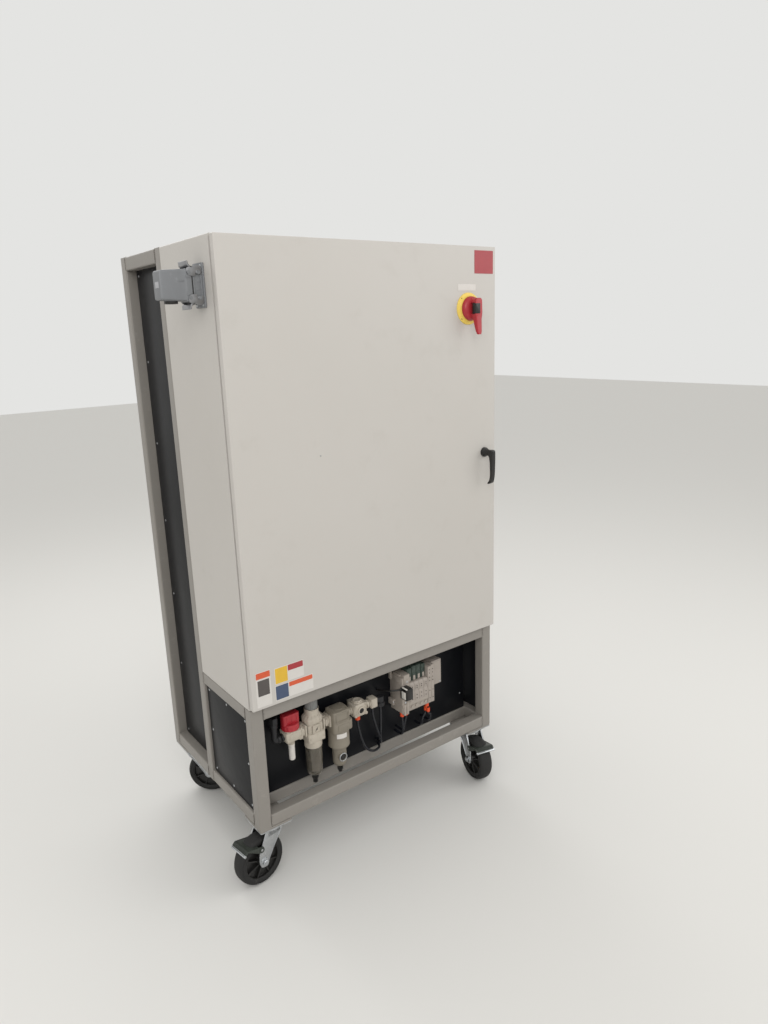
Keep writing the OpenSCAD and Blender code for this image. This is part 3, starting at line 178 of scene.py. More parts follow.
def endFinish(tree, shader, colour, rough, height=None, strength=0.0, distance=0.0):
    tree.links.new(colour, shader.inputs["Base Color"])
    tree.links.new(rough, shader.inputs["Roughness"])
    if height:
        bump = addNode(tree, "ShaderNodeBump", {"Strength": strength, "Distance": distance}, {"Height": height})
        tree.links.new(bump.outputs[0], shader.inputs["Normal"])


# A painted, moulded or cast surface: broad tone drift, patches of wear, fine grain in the bump
def surfaceFinish(name, colour, drift, worn, driftMm, roughness, grainMm, more):
    more = {"patchMm": 24, "patchAmount": 0.35, "bump": 0.25, **more}
    material, tree, shader, spot = startFinish(name, more)
    base = mixColours(tree, noise(tree, spot, driftMm, 3.0), colour, drift)
    patch = noise(tree, spot, more["patchMm"], 6.0, 0.62)
    mask = ramp(tree, patch, {"From Min": 0.58, "From Max": 0.78, "To Max": more["patchAmount"]})
    rough = ramp(tree, patch, {"To Min": roughness - 0.06, "To Max": roughness + 0.06})
    fine = noise(tree, spot, grainMm, 2.0)
    endFinish(tree, shader, mixColours(tree, mask, base, worn), rough, fine, more["bump"], grainMm * 0.00025)
    return material


# A metal surface with faint streaks, or with zinc spangle
def metalFinish(name, colour, drift, roughness, grainMm, spangle=False):
    material, tree, shader, spot = startFinish(name, {"Metallic": 1.0})
    if spangle:
        cells = addNode(tree, "ShaderNodeTexVoronoi", {"Scale": 1000.0 / grainMm}, {"Vector": spot})
        value = addNode(tree, "ShaderNodeSeparateColor", None, {0: cells.outputs["Color"]}).outputs[0]
    else:
        value = noise(tree, spot, grainMm, 5.0)
    rough = ramp(tree, value, {"To Min": roughness - 0.07, "To Max": roughness + 0.09})
    endFinish(tree, shader, mixColours(tree, value, colour, drift), rough, value, 0.12, 0.0002)
    return material


# Slightly hazed polycarbonate
def clearFinish(name, colour, drift, hazeMm):
    material, tree, shader, spot = startFinish(name, {"Transmission Weight": 0.88, "IOR": 1.5})
    haze = noise(tree, spot, hazeMm, 4.0)
    endFinish(tree, shader, mixColours(tree, haze, colour, drift), ramp(tree, haze, {"To Min": 0.06, "To Max": 0.2}))
    return material


plastic, film = {"IOR": 1.49}, {"bump": 0.06}
# Each row: colour, drifted and worn colour, size of the drift, roughness, size of the grain, the rest
surfaces = {
    # light grey textured powder coat; mid grey satin paint on tube, rubbed and dusty; smooth black panel with dust
    "powderCoatGrey": ("#C2BEB9", "#BCB8B2", "#B2ADA6", 420, 0.46, 1.6,
                       {"patchMm": 90, "patchAmount": 0.3, "bump": 0.22}),
    "satinTubePaint": ("#8B8781", "#847F79", "#A29D95", 260, 0.42, 2.2,
                       {"patchMm": 30, "patchAmount": 0.4, "bump": 0.2}),
    "glossBlackPanel": ("#141518", "#17181B", "#2B2C2E", 300, 0.34, 30,
                        {"patchMm": 60, "bump": 0.05, "Specular IOR Level": 0.16}),
    # solid rubber with floor dust; green-black paint of the brake pressing; closed-cell foam
    "solidRubber": ("#1C1C1C", "#232221", "#4A4743", 60, 0.78, 1.2, {"patchMm": 16, "patchAmount": 0.4, "bump": 0.5}),
    "brakePaint": ("#2C312B", "#333832", "#5B5D57", 40, 0.45, 1.5, {"patchMm": 8}),
    "sealFoam": ("#222222", "#2A2A2A", "#353535", 50, 0.9, 1.0, {"bump": 0.6}),
    # moulded plastics: faint tool grain and soft gloss
    "whitePlastic": ("#E3E0D9", "#DDD9D1", "#C6C1B7", 60, 0.42, 0.9, plastic),
    "blackPlastic": ("#1A1918", "#21201F", "#3A3836", 30, 0.38, 0.8, {"patchMm": 9, "IOR": 1.49}),
    "yellowPlastic": ("#E9CC63", "#E3C458", "#CBAA4C", 40, 0.36, 0.8, plastic),
    "redPlastic": ("#AC2A33", "#A1252E", "#852D31", 30, 0.34, 0.8, plastic),
    "ductPlastic": ("#9C9E9E", "#969898", "#84878A", 200, 0.5, 1.5, plastic),
    "darkHousing": ("#44474B", "#3F4246", "#5C6064", 80, 0.48, 1.0, {}),
    "paleHousing": ("#D4D5D2", "#CDCECB", "#B9BAB6", 80, 0.46, 1.0, {}),
    "knobGrey": ("#7F807E", "#777876", "#94938F", 20, 0.48, 0.9, plastic),
    "orangePlastic": ("#DE5228", "#D54A22", "#A8432A", 20, 0.35, 0.8, plastic),
    "coilGreen": ("#3D4A43", "#37433C", "#59635C", 30, 0.42, 0.8, plastic),
    # valve fronts: base colour set darker to the shade of the bay under the cabinet, painted shade
    "valveFront": ("#A59C94", "#9C938B", "#857B71", 30, 0.48, 0.9, {"patchMm": 8, "patchAmount": 0.4, "IOR": 1.49}),
    "gaugeFace": ("#B5AC9E", "#ADA496", "#9B9284", 12, 0.22, 2, {"bump": 0.05}),
    # grey of the filter element, also used for the painted lit band inside the regulator bowl
    "bowlShade": ("#A39B8F", "#998F83", "#7F776C", 30, 0.6, 1.4, {"patchMm": 9}),
    "hoodTag": ("#A9AAAE", "#A1A2A6", "#8F9094", 10, 0.4, 1, {}),
    "silencerFelt": ("#D2CEC8", "#C9C5BF", "#B4AFA8", 20, 0.85, 0.7, {"patchMm": 5, "bump": 0.6}),
    "blackAirTube": ("#111318", "#151820", "#2A2C31", 40, 0.24, 4, {"bump": 0.08}),
    # die castings, rubbed bright or yellowed with dust. The off-white unit and manifold castings also carry painted
    # shade: their base colour is set darker, to the shade of the bay under the cabinet
    "dieCastGrey": ("#7C7E81", "#77797C", "#9A9C9E", 40, 0.5, 1.4,
                    {"patchMm": 14, "patchAmount": 0.4, "bump": 0.4, "Metallic": 0.15}),
    "darkIronFitting": ("#2A2A2C", "#313133", "#57565A", 20, 0.5, 1.8, {"patchMm": 6, "bump": 0.5, "Metallic": 0.5}),
    "unitCasting": ("#B6AEA1", "#AEA597", "#8F8675", 50, 0.5, 1.1, {"patchMm": 12, "patchAmount": 0.45, "bump": 0.35}),
    "manifoldCasting": ("#A39A91", "#9A9188", "#7E756A", 50, 0.52, 1.1,
                        {"patchMm": 9, "patchAmount": 0.5, "bump": 0.35}),
    "taupeCasting": ("#857E72", "#7D7669", "#696255", 50, 0.46, 1.2, {"patchMm": 14, "patchAmount": 0.4, "bump": 0.3}),
    # printed film of the blank plates; the worn colour is the drifted one
    "plateRed": ("#A5333A", "#972C33", "#972C33", 20, 0.33, 4, film),
    "plateWhite": ("#D2CECA", "#C9C5BF", "#C9C5BF", 20, 0.33, 4, film),
    "plateOrange": ("#D25A35", "#C4502E", "#C4502E", 20, 0.33, 4, film),
    "plateDark": ("#4A4543", "#55504D", "#55504D", 20, 0.33, 4, film),
    "plateYellow": ("#DDB437", "#D0A62F", "#D0A62F", 20, 0.33, 4, film),
    "plateBlue": ("#3C4A66", "#46536C", "#46536C", 20, 0.33, 4, film)}
# Each row: colour, drifted colour, roughness, size of the grain
metals = {"brightZincPlate": ("#C9CBCD", "#AEB1B4", 0.28, 9), "galvanisedSheet": ("#C6C9CA", "#AEB3B6", 0.38, 14, True),
          "springSteel": ("#A2A2A4", "#8B8C8F", 0.36, 5)}
finishes = {name: surfaceFinish(name, *row) for name, row in surfaces.items()}
finishes.update({name: metalFinish(name, *row) for name, row in metals.items()})
finishes["clearPolycarbonate"] = clearFinish("clearPolycarbonate", "#C2BCB0", "#A59E92", 18)

slotFinish = {
    "frame_paint": "satinTubePaint", "cabinet_paint": "powderCoatGrey", "panel_black": "glossBlackPanel",
    "zinc": "brightZincPlate", "galvanised": "galvanisedSheet", "tyre_rubber": "solidRubber",
    "brake_paint": "brakePaint", "seal_foam": "sealFoam", "plug_white": "whitePlastic",
    "black_plastic": "blackPlastic", "switch_yellow": "yellowPlastic", "knob_red": "redPlastic",
    "duct_grey": "ductPlastic", "device_grey": "darkHousing", "device_white": "paleHousing",
    "connector_grey": "dieCastGrey", "lever_zinc": "springSteel", "fitting_dark": "darkIronFitting",
    "unit_white": "unitCasting", "knob_grey": "knobGrey", "separator_taupe": "taupeCasting",
    "manifold_alloy": "manifoldCasting", "fitting_orange": "orangePlastic", "air_tube": "blackAirTube",
    "bowl_clear": "clearPolycarbonate"}

nodeSlot = {part["node"]: part["material_slot"] for part in frame["record"]["subparts"]}
for nodeName, cadObject in frame["nodes"].items():
    cadObject.data.materials.clear()
    cadObject.data.materials.append(finishes[slotFinish[nodeSlot[nodeName]]])
print("finishes on the frame:", len(finishes))


# Shapes. Outlines and places are in millimetres from the door's lower left front corner.
def arcPoints(before, here, after, radius, steps):
    reach = min(radius, (before - here).length * 0.48, (after - here).length * 0.48)
    if reach < 0.05:
        return [here]
    a, b = here + (before - here).normalized() * reach, here + (after - here).normalized() * reach
    shares = [k / steps for k in range(steps + 1)]
    return [a * (1 - s) ** 2 + here * 2 * s * (1 - s) + b * s * s for s in shares]


# Rounds the corners of a closed outline; a third number in a point is that corner's own radius
def soften(points, radius, steps=4):
    done = []
    for i, point in enumerate(points):
        near = [Vector(points[j][:2]) for j in (i - 1, i, (i + 1) % len(points))]
        done += [tuple(p) for p in arcPoints(*near, point[2] if len(point) > 2 else radius, steps)]
    return done


def bendPath(points, radius, steps=7):
    points = [Vector(p) for p in points]
    bends = [p for near in zip(points, points[1:], points[2:]) for p in arcPoints(*near, radius, steps)]
    return [points[0]] + bends + [points[-1]]


def roundRect(x0, z0, x1, z1, radius, steps=4):
    return soften([(x0, z0), (x1, z0), (x1, z1), (x0, z1)], radius, steps)


def onAxis(axis, u, v, w):
    return Vector({"x": (w, u, v), "y": (u, w, v), "z": (u, v, w)}[axis])


def outlineAt(axis, outline, at):
    return [onAxis(axis, p[0], p[1], at) for p in outline]


def rectRing(axis, w, h, radius, at, shift=(0, 0), steps=5):
    return outlineAt(axis, [(u + shift[0], v + shift[1]) for u, v in roundRect(-w, -h, w, h, radius, steps)], at)


class Shape:
    def __init__(self, name, at=(0, 0, 0), turn=0.0):
        self.name, self.mesh = name, bmesh.new()
        self.local = Matrix.Translation(at) @ Matrix.Rotation(turn, 4, "Z")

    def take(self, part, bevel=0.0, segments=2):
        bmesh.ops.recalc_face_normals(part, faces=part.faces)
        if bevel:
            sharp = [e for e in part.edges if len(e.link_faces) == 2 and e.calc_face_angle() > math.radians(28)]
            bmesh.ops.bevel(part, geom=sharp, offset=bevel, segments=segments, profile=0.5, affect="EDGES")
        part.transform(self.local)
        mesh = bpy.data.meshes.new("part")
        part.to_mesh(mesh)
        part.free()
        self.mesh.from_mesh(mesh)
        bpy.data.meshes.remove(mesh)
        return self

    # Outlines with the same number of points, joined in turn; closed at both ends, or in a ring when looped
    def loft(self, rings, bevel=0.0, segments=2, looped=False):
        part = bmesh.new()
        loops = [[part.verts.new(p) for p in ring] for ring in rings]
        if not looped:
            part.faces.new(loops[0])
            part.faces.new(loops[-1])
        for a, b in zip(loops, loops[1:] + (loops[:1] if looped else [])):
            for i in range(len(a)):
                part.faces.new((a[i - 1], a[i], b[i], b[i - 1]))
        return self.take(part, bevel, segments)

    # An outline pushed along an axis; the second outline, if any, is the far end
    def prism(self, outline, axis, start, end, bevel=0.0, far=None, segments=2):
        return self.loft([outlineAt(axis, outline, start), outlineAt(axis, far or outline, end)], bevel, segments)

    # A plate with rounded corners: its left, low, right and high side, radius and steps of a corner
    def slab(self, corners, radius, steps, axis, start, end, bevel=0.0, segments=2):
        return self.prism(roundRect(*corners, radius, steps), axis, start, end, bevel, None, segments)

    def box(self, low, high, bevel=0.5, segments=2):
        outline = [(low[0], low[1]), (high[0], low[1]), (high[0], high[1]), (low[0], high[1])]
        return self.prism(outline, "z", low[2], high[2], bevel, None, segments)

    # A turned form from a profile of (radius, height). Four or more points that start and end off the axis
    # leave a bore. Ribs are flutes round the form: their low and high end, depth, count and sharpness.
    def lathe(self, profile, axis="z", count=32, at=(0, 0, 0), ribs=None):
        part = bmesh.new()
        low, high, depth, flutes, power = (tuple(ribs) + (1.0,))[:5] if ribs else (0, 0, 0, 0, 1.0)
        turns = [2 * math.pi * k / count for k in range(count)]
        rings = []
        for radius, height in profile:
            if radius < 1e-4:
                rings.append([part.verts.new(onAxis(axis, 0, 0, height))])
                continue
            cut = depth if low <= height <= high else 0
            reach = [radius - cut * (0.5 - 0.5 * math.cos(a * flutes)) ** power for a in turns]
            rings.append([part.verts.new(onAxis(axis, r * math.cos(a), r * math.sin(a), height))
                          for r, a in zip(reach, turns)])
        bored = len(profile) > 3 and min(len(rings[0]), len(rings[-1])) > 1
        for a, b in zip(rings, rings[1:] + (rings[:1] if bored else [])):
            for k in range(count):
                j = (k + 1) % count
                corners = ([a[0]] if len(a) == 1 else [a[k], a[j]]) + ([b[0]] if len(b) == 1 else [b[j], b[k]])
                if len(corners) > 2:
                    part.faces.new(corners)
        for ring in () if bored else (rings[0], rings[-1]):
            if len(ring) > 1:
                part.faces.new(ring)
        part.transform(Matrix.Translation(at))
        return self.take(part)

    # A round bar, hose or wire along a path
    def tube(self, path, radius, count=12):
        path = [Vector(p) for p in path]
        ends = zip([path[0]] + path[:-1], path[1:] + [path[-1]])
        ahead = [(after - before).normalized() for before, after in ends]
        side = ahead[0].orthogonal().normalized()
        rings = []
        for here, way in zip(path, ahead):
            side = (side - way * side.dot(way)).normalized()
            other = way.cross(side)
            rings.append([here + (side * math.cos(a) + other * math.sin(a)) * radius
                          for a in (2 * math.pi * k / count for k in range(count))])
        return self.loft(rings)

    # Bolt and screw heads: a hexagon with its washer, a pan head with a recess, or a socket head
    def head(self, at, axis, out, size, kind="hex"):
        rise = out * size * (0.62 if kind == "hex" else 0.42)
        if kind == "hex":
            self.lathe([(size, 0), (size, rise * 0.86), (size * 0.86, rise)], axis, 6, at)
            return self.lathe([(size * 1.28, 0), (size * 1.28, out * size * 0.16)], axis, 24, at)
        if kind == "pan":
            rows = [(1, 0), (1, 0.35), (0.86, 0.75), (0.5, 1), (0.3, 1), (0.26, 0.35), (0, 0.3)]
        else:
            rows = [(1, 0), (1, 1.3), (0.9, 1.5), (0.52, 1.5), (0.5, 0.6), (0, 0.6)]
        return self.lathe([(size * r, rise * h) for r, h in rows], axis, 20 if kind == "pan" else 18, at)

    def done(self, slotName, node=None, finish=None, body="stand", angle=32):
        return showPiece(self.name, self.meshData(zeroPoint), slotName, node, finish, body, angle)

    # The finished mesh in metres
    def meshData(self, zero=(0, 0, 0)):
        bmesh.ops.remove_doubles(self.mesh, verts=self.mesh.verts, dist=1e-5)
        mesh = bpy.data.meshes.new(self.name)
        self.mesh.transform(Matrix.Translation(zero) @ Matrix.Scale(0.001, 4))
        self.mesh.to_mesh(mesh)
        self.mesh.free()
        return mesh


def showPiece(name, mesh, slotName, node=None, finish=None, body="stand", angle=32):
    mesh.materials.clear()
    mesh.materials.append(finishes[finish or slotFinish[slotName]])
    mesh.polygons.foreach_set("material_index", [0] * len(mesh.polygons))
    mesh.polygons.foreach_set("use_smooth", [True] * len(mesh.polygons))
    mesh.set_sharp_from_angle(angle=math.radians(angle))
    piece = addObject(name, mesh)
    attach(piece, body)
    if node:
        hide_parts(node)
    return piece


# Repeats one small form at many points. Each point keeps its own turn about Z, and turn and size vary at random.
def repeatTree():
    tree = bpy.data.node_groups.new("repeatAtPoints", "GeometryNodeTree")
    for label, kind in (("Points", "Geometry"), ("Form", "Object"), ("Finish", "Material"), ("Turn Spread", "Float"),
                        ("Size Spread", "Float"), ("Seed", "Int"), ("Turn Axis", "Vector")):
        tree.interface.new_socket(label, in_out="INPUT", socket_type="NodeSocket" + kind)
    tree.interface.new_socket("Geometry", in_out="OUTPUT", socket_type="NodeSocketGeometry")
    given = addNode(tree, "NodeGroupInput").outputs
    form = addNode(tree, "GeometryNodeObjectInfo", None, {"Object": given["Form"]})

    def sums(operation, first, source):
        return addNode(tree, "ShaderNodeMath", {"operation": operation, **first}, source).outputs[0]

    def chance(low, high):
        return addNode(tree, "FunctionNodeRandomValue", {"data_type": "FLOAT"},
                       {2: low, 3: high, "Seed": given["Seed"]}).outputs[1]

    turn = chance(sums("MULTIPLY", {1: -1.0}, {0: given["Turn Spread"]}), given["Turn Spread"])
    axis = addNode(tree, "ShaderNodeVectorMath", {"operation": "SCALE"}, {0: given["Turn Axis"], "Scale": turn})
    own = addNode(tree, "GeometryNodeInputNamedAttribute", {"data_type": "FLOAT_VECTOR", "Name": "own_turn"})
    total = addNode(tree, "ShaderNodeVectorMath", {"operation": "ADD"}, {0: axis.outputs[0], 1: own.outputs[0]})
    size = chance(*[sums(kind, {0: 1.0}, {1: given["Size Spread"]}) for kind in ("SUBTRACT", "ADD")])
    copies = addNode(tree, "GeometryNodeInstanceOnPoints", None, {
        "Points": given["Points"], "Instance": form.outputs["Geometry"], "Rotation": total.outputs[0], "Scale": size})
    real = addNode(tree, "GeometryNodeRealizeInstances", None, {"Geometry": copies.outputs[0]})
    painted = addNode(tree, "GeometryNodeSetMaterial", None, {"Geometry": real.outputs[0], "Material": given["Finish"]})
    addNode(tree, "NodeGroupOutput", None, {0: painted.outputs[0]})
    return tree


repeatNodes = repeatTree()


def repeat(name, form, points, slotName, settings=None, node=None):
    unit = addObject(name + "Form", form.meshData())
    cloud = bpy.data.meshes.new(name + "Points")
    cloud.from_pydata([place(*p[:3]) for p in points], [], [])
    turns = cloud.attributes.new("own_turn", "FLOAT_VECTOR", "POINT")
    turns.data.foreach_set("vector", [v for p in points for v in (p[3] if len(p) > 3 else (0, 0, 0))])
    holder = addObject(name + "Holder", cloud)
    modifier = holder.modifiers.new("repeat", "NODES")
    modifier.node_group = repeatNodes
    sockets = {s.name: s.identifier for s in repeatNodes.interface.items_tree if s.in_out == "INPUT"}
    values = {"Form": unit, "Finish": finishes[slotFinish[slotName]], "Turn Spread": 0.0, "Size Spread": 0.0,
              "Seed": 7, "Turn Axis": (0, 0, 1), **(settings or {})}
    for key, value in values.items():
        modifier[sockets[key]] = value
    bpy.context.view_layer.update()
    mesh = bpy.data.meshes.new_from_object(holder.evaluated_get(bpy.context.evaluated_depsgraph_get()))
    mesh.name = name
    for extra in (holder, unit):
        bpy.data.objects.remove(extra)
    for attribute in [a for a in mesh.attributes if a.name == "own_turn"]:
        mesh.attributes.remove(attribute)
    return showPiece(name, mesh, slotName, node)


# Stand: welded square tube, with a bead of weld round the end of each rail
standSet = {"side": 38.1, "corner": 5.0, "width": 914.4, "front": 16.7, "mid": 332.8, "rear": 614.3,
            "unitRail": 108.7, "low": -383.8, "top": -43.7, "seat": -5.6, "crown": 1220.7,
            "bead": 2.3, "beadPitch": 2.6, "beadIn": 4.0, "beadOff": 0.4}


def tubeOutline(a, b, s):
    return roundRect(a, b, a + s["side"], b + s["side"], s["corner"], 5)


# The beads along the four sides of a tube's end, which faces the given axis
def seam(axis, at, a, b, s):
    side, inset = s["side"], s["beadIn"]
    near, far = inset, side - inset
    corners = [(near, 0), (far, 0), (side, near), (side, far), (far, side), (near, side), (0, far), (0, near)]
    spots = []
    for start, end in zip(corners[::2], corners[1::2]):
        p, q = Vector((a, b)) + Vector(start), Vector((a, b)) + Vector(end)
        steps = int((q - p).length / s["beadPitch"])
        spots += [tuple(onAxis(axis, *(p + (q - p) * k / steps), at)) for k in range(steps + 1)]
    return spots


def buildStand(s):
    side, right, off, seams = s["side"], s["width"] - s["side"], s["beadOff"], []
    front, mid, rear, low, top, high = s["front"], s["mid"], s["rear"], s["low"], s["top"], s["crown"] - s["side"]
    posts, cross, rails = Shape("standPosts"), Shape("standCrossRails"), Shape("standSideRails")
    for x in (0, right):
        posts.prism(tubeOutline(x, front, s), "z", low, s["seat"])
        for y in (mid, rear):
            posts.prism(tubeOutline(x, y, s), "z", low, s["crown"], 0.6)
    for y, z in [(front, low), (mid, low), (rear, low), (s["unitRail"], low), (front, top), (mid, top), (mid, high),
                 (rear, high)]:
        cross.prism(tubeOutline(y, z, s), "x", side, right)
        if y != s["unitRail"]:
            seams += seam("x", side + off, y, z, s) + seam("x", right - off, y, z, s)
    for x in (0, right):
        for start, end, z in ((front, mid, low), (front, mid, top), (mid, rear, low), (mid, rear, high)):
            rails.prism(tubeOutline(x, z, s), "y", start + side, end)
            seams += seam("y", start + side + off, x, z, s) + seam("y", end - off, x, z, s)
    posts.done("frame_paint", "stand_posts")
    cross.done("frame_paint", "cross_rails")
    rails.done("frame_paint", "side_rails")
    bead = Shape("bead").lathe([(0, -1), (1.5, -0.75), (s["bead"], 0), (1.5, 0.75), (0, 1)], "z", 7)
    repeat("standWelds", bead, seams, "frame_paint",
           {"Turn Spread": 1.2, "Size Spread": 0.18, "Seed": 11, "Turn Axis": (1, 0.7, 0.4)})


buildStand(standSet)
print("stand built")

# Castors, each in its own frame: swivel axis at zero, the pad's underside at height zero
castorSet = {"at": [(52, 68.7), (862.4, 68.7), (52, 600.4), (862.4, 600.4)], "turn": [188, -103, -38, -165],
             "names": ["front_left", "front_right", "rear_left", "rear_right"], "braked": 2, "padLow": -389.8,
             "pad": 104, "padThick": 6, "plate": 4, "holeIn": 14, "bolt": 8, "trail": 45, "axle": -108.3, "rim": 76.2,
             "tread": 46, "legIn": 27, "leg": 4, "top": -11.6, "spokes": 8, "pin": (53, -61.3), "grips": 5}


def castorShape(name, i, s):
    return Shape(name + s["names"][i], (*s["at"][i], s["padLow"]), math.radians(s["turn"][i]))


def buildPads(s):
    half = s["pad"] / 2
    hole, plate = half - s["holeIn"], s["plate"]
    pads, plates, races = Shape("castorPads"), Shape("castorPlates"), Shape("castorRaces")
    race = [(0, -plate), (35.5, -plate), (36.5, -5.2), (36.2, -7.0), (33.2, -8.6), (31, -11.2), (0, -11.2)]
    for x, y in s["at"]:
        for shape in (pads, plates, races):
            shape.local = Matrix.Translation((x, y, s["padLow"]))
        for shape, low, high in ((pads, 0.05, s["padThick"]), (plates, -plate, -0.05)):
            shape.slab((-half, -half, half, half), 7, 5, "z", low, high, 0.7)
        for u, v in ((-1, -1), (-1, 1), (1, -1), (1, 1)):
            plates.head((u * hole, v * hole, -plate), "z", -1, s["bolt"])
        races.lathe(race, "z", 48)
        races.lathe([(7.8, -11), (7.8, -29), (7, -30), (0, -30)], "z", 24)
        races.lathe([(13, -21.5), (13, -28.5), (12, -29.4), (7.9, -29.4), (7.9, -21.5)], "z", 6)
    pads.done("frame_paint", "castor_pads")
    plates.done("zinc", "castor_plates")
    races.done("zinc")


def buildFork(i, s):
    trail, axle, top, inner = s["trail"], s["axle"], s["top"], s["legIn"]
    outer, hub, fork = inner + s["leg"], (trail, 0, axle), castorShape("forkShell_", i, s)
    # Crown: dished ring over the lower race, with a rolled lip
    crown = [(8.2, -8.8), (28, -8.8), (30, -5), (34.5, -5), (37.5, -7.4), (38.6, -6.2), (36.6, -1.4), (33, 0), (8.2, 0)]
    fork.lathe(soften([(r, top + z) for r, z in crown], 1.0, 3), "z", 48)
    leg = soften([(-25, top - 3, 7), (29, top - 3, 9), (trail + 15, axle + 36, 22), (trail + 17, axle + 4, 14),
                  (trail + 11, axle - 14, 9), (trail, axle - 17.5, 8), (trail - 11, axle - 14, 9),
                  (trail - 17, axle + 2, 14), (2, axle + 44, 26), (-25, top - 20, 14)], 6, 6)
    midX, midZ = trail * 0.55, (axle + top) / 2
    # Raised margin that stiffens the pressing: shares of the leg's outline across and along, and their depth
    margin = ((1, 1, 0), (0.97, 0.98, 1.4), (0.86, 0.91, 1.4), (0.83, 0.89, 0.1))
    for sign in sides:
        out = sign * outer
        fork.prism(leg, "y", sign * inner, out, 0.9)
        fork.loft([outlineAt("y", [(midX + (x - midX) * a, midZ + (z - midZ) * b) for x, z in leg],
                             out + sign * (depth - 0.6)) for a, b, depth in margin], looped=True)
        # Shoulder between the crown and the leg
        shoulder = [(inner - 9, top - 8.6), (inner - 9, top - 2), (inner + 0.5, top - 2, 3), (outer, top - 5.5, 3),
                    (outer, top - 24), (inner, top - 24), (inner, top - 12, 3)]
        fork.prism(soften([(sign * p[0], *p[1:]) for p in shoulder], 1.2, 4), "x", -21, 27, 0.8)
        for rows, count in (([(13, 0), (13, 1.8), (12, 2.3), (0, 2.3)], 28),
                            ([(10.4, 2.2), (10.4, 7.4), (9, 8.4), (0, 8.4)], 6)):
            fork.lathe([(r, out + sign * y) for r, y in rows], "y", count, hub)
    fork.lathe([(5.9, -outer - 10), (5.9, outer + 10)], "y", 20, hub)
    if i < s["braked"]:
        x, z = s["pin"]
        for sign in sides:
            pin = [(4, sign * inner), (4, sign * (outer + 4.2)), (3.2, sign * (outer + 5))]
            fork.lathe(pin, "y", 16, (x, 0, z))
    fork.done("zinc", "fork_" + s["names"][i], body="castor_" + s["names"][i])


def buildWheel(i, s):
    rim, half, hub, body = s["rim"], s["tread"] / 2, (s["trail"], 0, s["axle"]), "roller_" + s["names"][i]
    tyre = castorShape("tyre_", i, s)
    tread = [(-21, 3 - half), (-16, 0.6 - half), (-7, -half, 6), (-1.2, 8 - half, 6), (0, -6, 8), (0, 6, 8),
             (-1.2, half - 8, 6), (-7, half, 6), (-16, half - 0.6), (-21, half - 3), (-22, 0)]
    tyre.lathe(soften([(rim + p[0], *p[1:]) for p in tread], 2, 4), "y", 72, hub)
    for sign in sides:
        y = sign * (half - 4.2)
        groove = [(-10.5, 4.6), (-9, 5.0), (-7.5, 4.6), (-9, 0)]
        tyre.lathe([(rim + r, y + sign * deep) for r, deep in groove], "y", 72, hub)
    tyre.done("tyre_rubber", "wheel_" + s["names"][i], body=body)

    centre = castorShape("wheelCentre_", i, s)
    web = [(12, 12 - half), (rim - 22, 13 - half), (rim - 22, 3.5 - half), (rim - 20.2, 3 - half),
           (rim - 20.2, half - 3), (rim - 22, half - 3.5), (rim - 22, half - 13), (12, half - 12)]
    boss = [(6.3, -25.5), (13, -25.5), (17, 11 - half), (17, half - 11), (13, 25.5), (6.3, 25.5)]
    centre.lathe(soften(web, 1.2, 3), "y", 60, hub)
    centre.lathe(soften(boss, 1.2, 3), "y", 36, hub)
    axis = centre.local @ Matrix.Translation(hub)
    for k in range(s["spokes"]):
        centre.local = axis @ Matrix.Rotation(2 * math.pi * (k + 0.5) / s["spokes"], 4, "Y")
        for sign in sides:
            spoke = [(14, sign * 6), (rim - 21, sign * 6), (rim - 21, sign * (half - 5)), (15, sign * (half - 1))]
            centre.prism(soften(spoke, 1.5, 2), "z", -1.7, 1.7, 0.5)
    centre.done("black_plastic", body=body)
    bearing = castorShape("bearing_", i, s)
    for sign in sides:
        ring = [(6.4, sign * 25.2), (6.4, sign * 26.4), (10.5, sign * 26.4), (10.5, sign * 25.2)]
        bearing.lathe(soften(ring, 0.3, 2), "y", 32, hub)
    bearing.done("zinc", body=body)


# Brake pedal: two ears on the fork's pins, a sloping web and a tread plate with grips
def buildPedal(i, s):
    (u, z), trail, axle, body = s["pin"], s["trail"], s["axle"], "pedal_" + s["names"][i]
    earIn = s["legIn"] + s["leg"] + 0.35
    wide = earIn + 3.0
    pedal = castorShape("pedal_", i, s)
    side = soften([(u - 8, z - 8, 5), (u + 8, z - 8, 4), (trail + 52, axle + 63, 3), (trail + 54, axle + 68, 2),
                   (u + 8, z + 12, 8), (u - 8, z + 8, 5)], 3, 5)
    for sign in sides:
        pedal.prism(side, "y", sign * earIn, sign * wide, 0.7)
        washer = [(8.5, 0), (8.5, 1.1), (7.6, 1.6), (4.1, 1.6), (4.1, 0)]
        pedal.lathe([(r, sign * (wide + y)) for r, y in washer], "y", 24, (u, 0, z))
    tread = [(50.5, 65), (64.5, 52.6, 2), (67.5, 56, 2), (54, 68.6, 3)]
    pedal.prism(soften([(trail + p[0], axle + p[1], *p[2:]) for p in tread], 0.8, 3), "y", -wide, wide, 0.9)
    web = [(u + 10, z + 8), (trail + 50, axle + 64.5), (trail + 52, axle + 67.5), (u + 8, z + 11.5)]
    pedal.prism(soften(web, 1, 3), "y", -wide + 2, wide - 2, 0.5)
    along = Vector((14, -12.4)).normalized()
    for k in range(s["grips"]):
        x, y = Vector((trail + 54.6, axle + 67.9)) + along * (1.6 + k * 3.1)
        grip = [(x - 0.8, y - 0.7), (x + 0.8, y - 0.7), (x + 1.3, y + 0.9), (x + 0.1, y + 1.1)]
        pedal.prism(soften(grip, 0.3, 2), "y", -wide + 4, wide - 4, 0.2)
    pedal.done("brake_paint", "brake_" + s["names"][i], body=body)
    tip = castorShape("pedalTip_", i, s)
    edge = [(59.6, 56.1), (64.9, 51.3), (68.9, 55.7), (63.5, 60.5)]
    tip.prism(soften([(trail + x, axle + y) for x, y in edge], 1.4, 3), "y", -wide - 0.5, wide + 0.5, 0.6)
    tip.done("zinc", body=body)


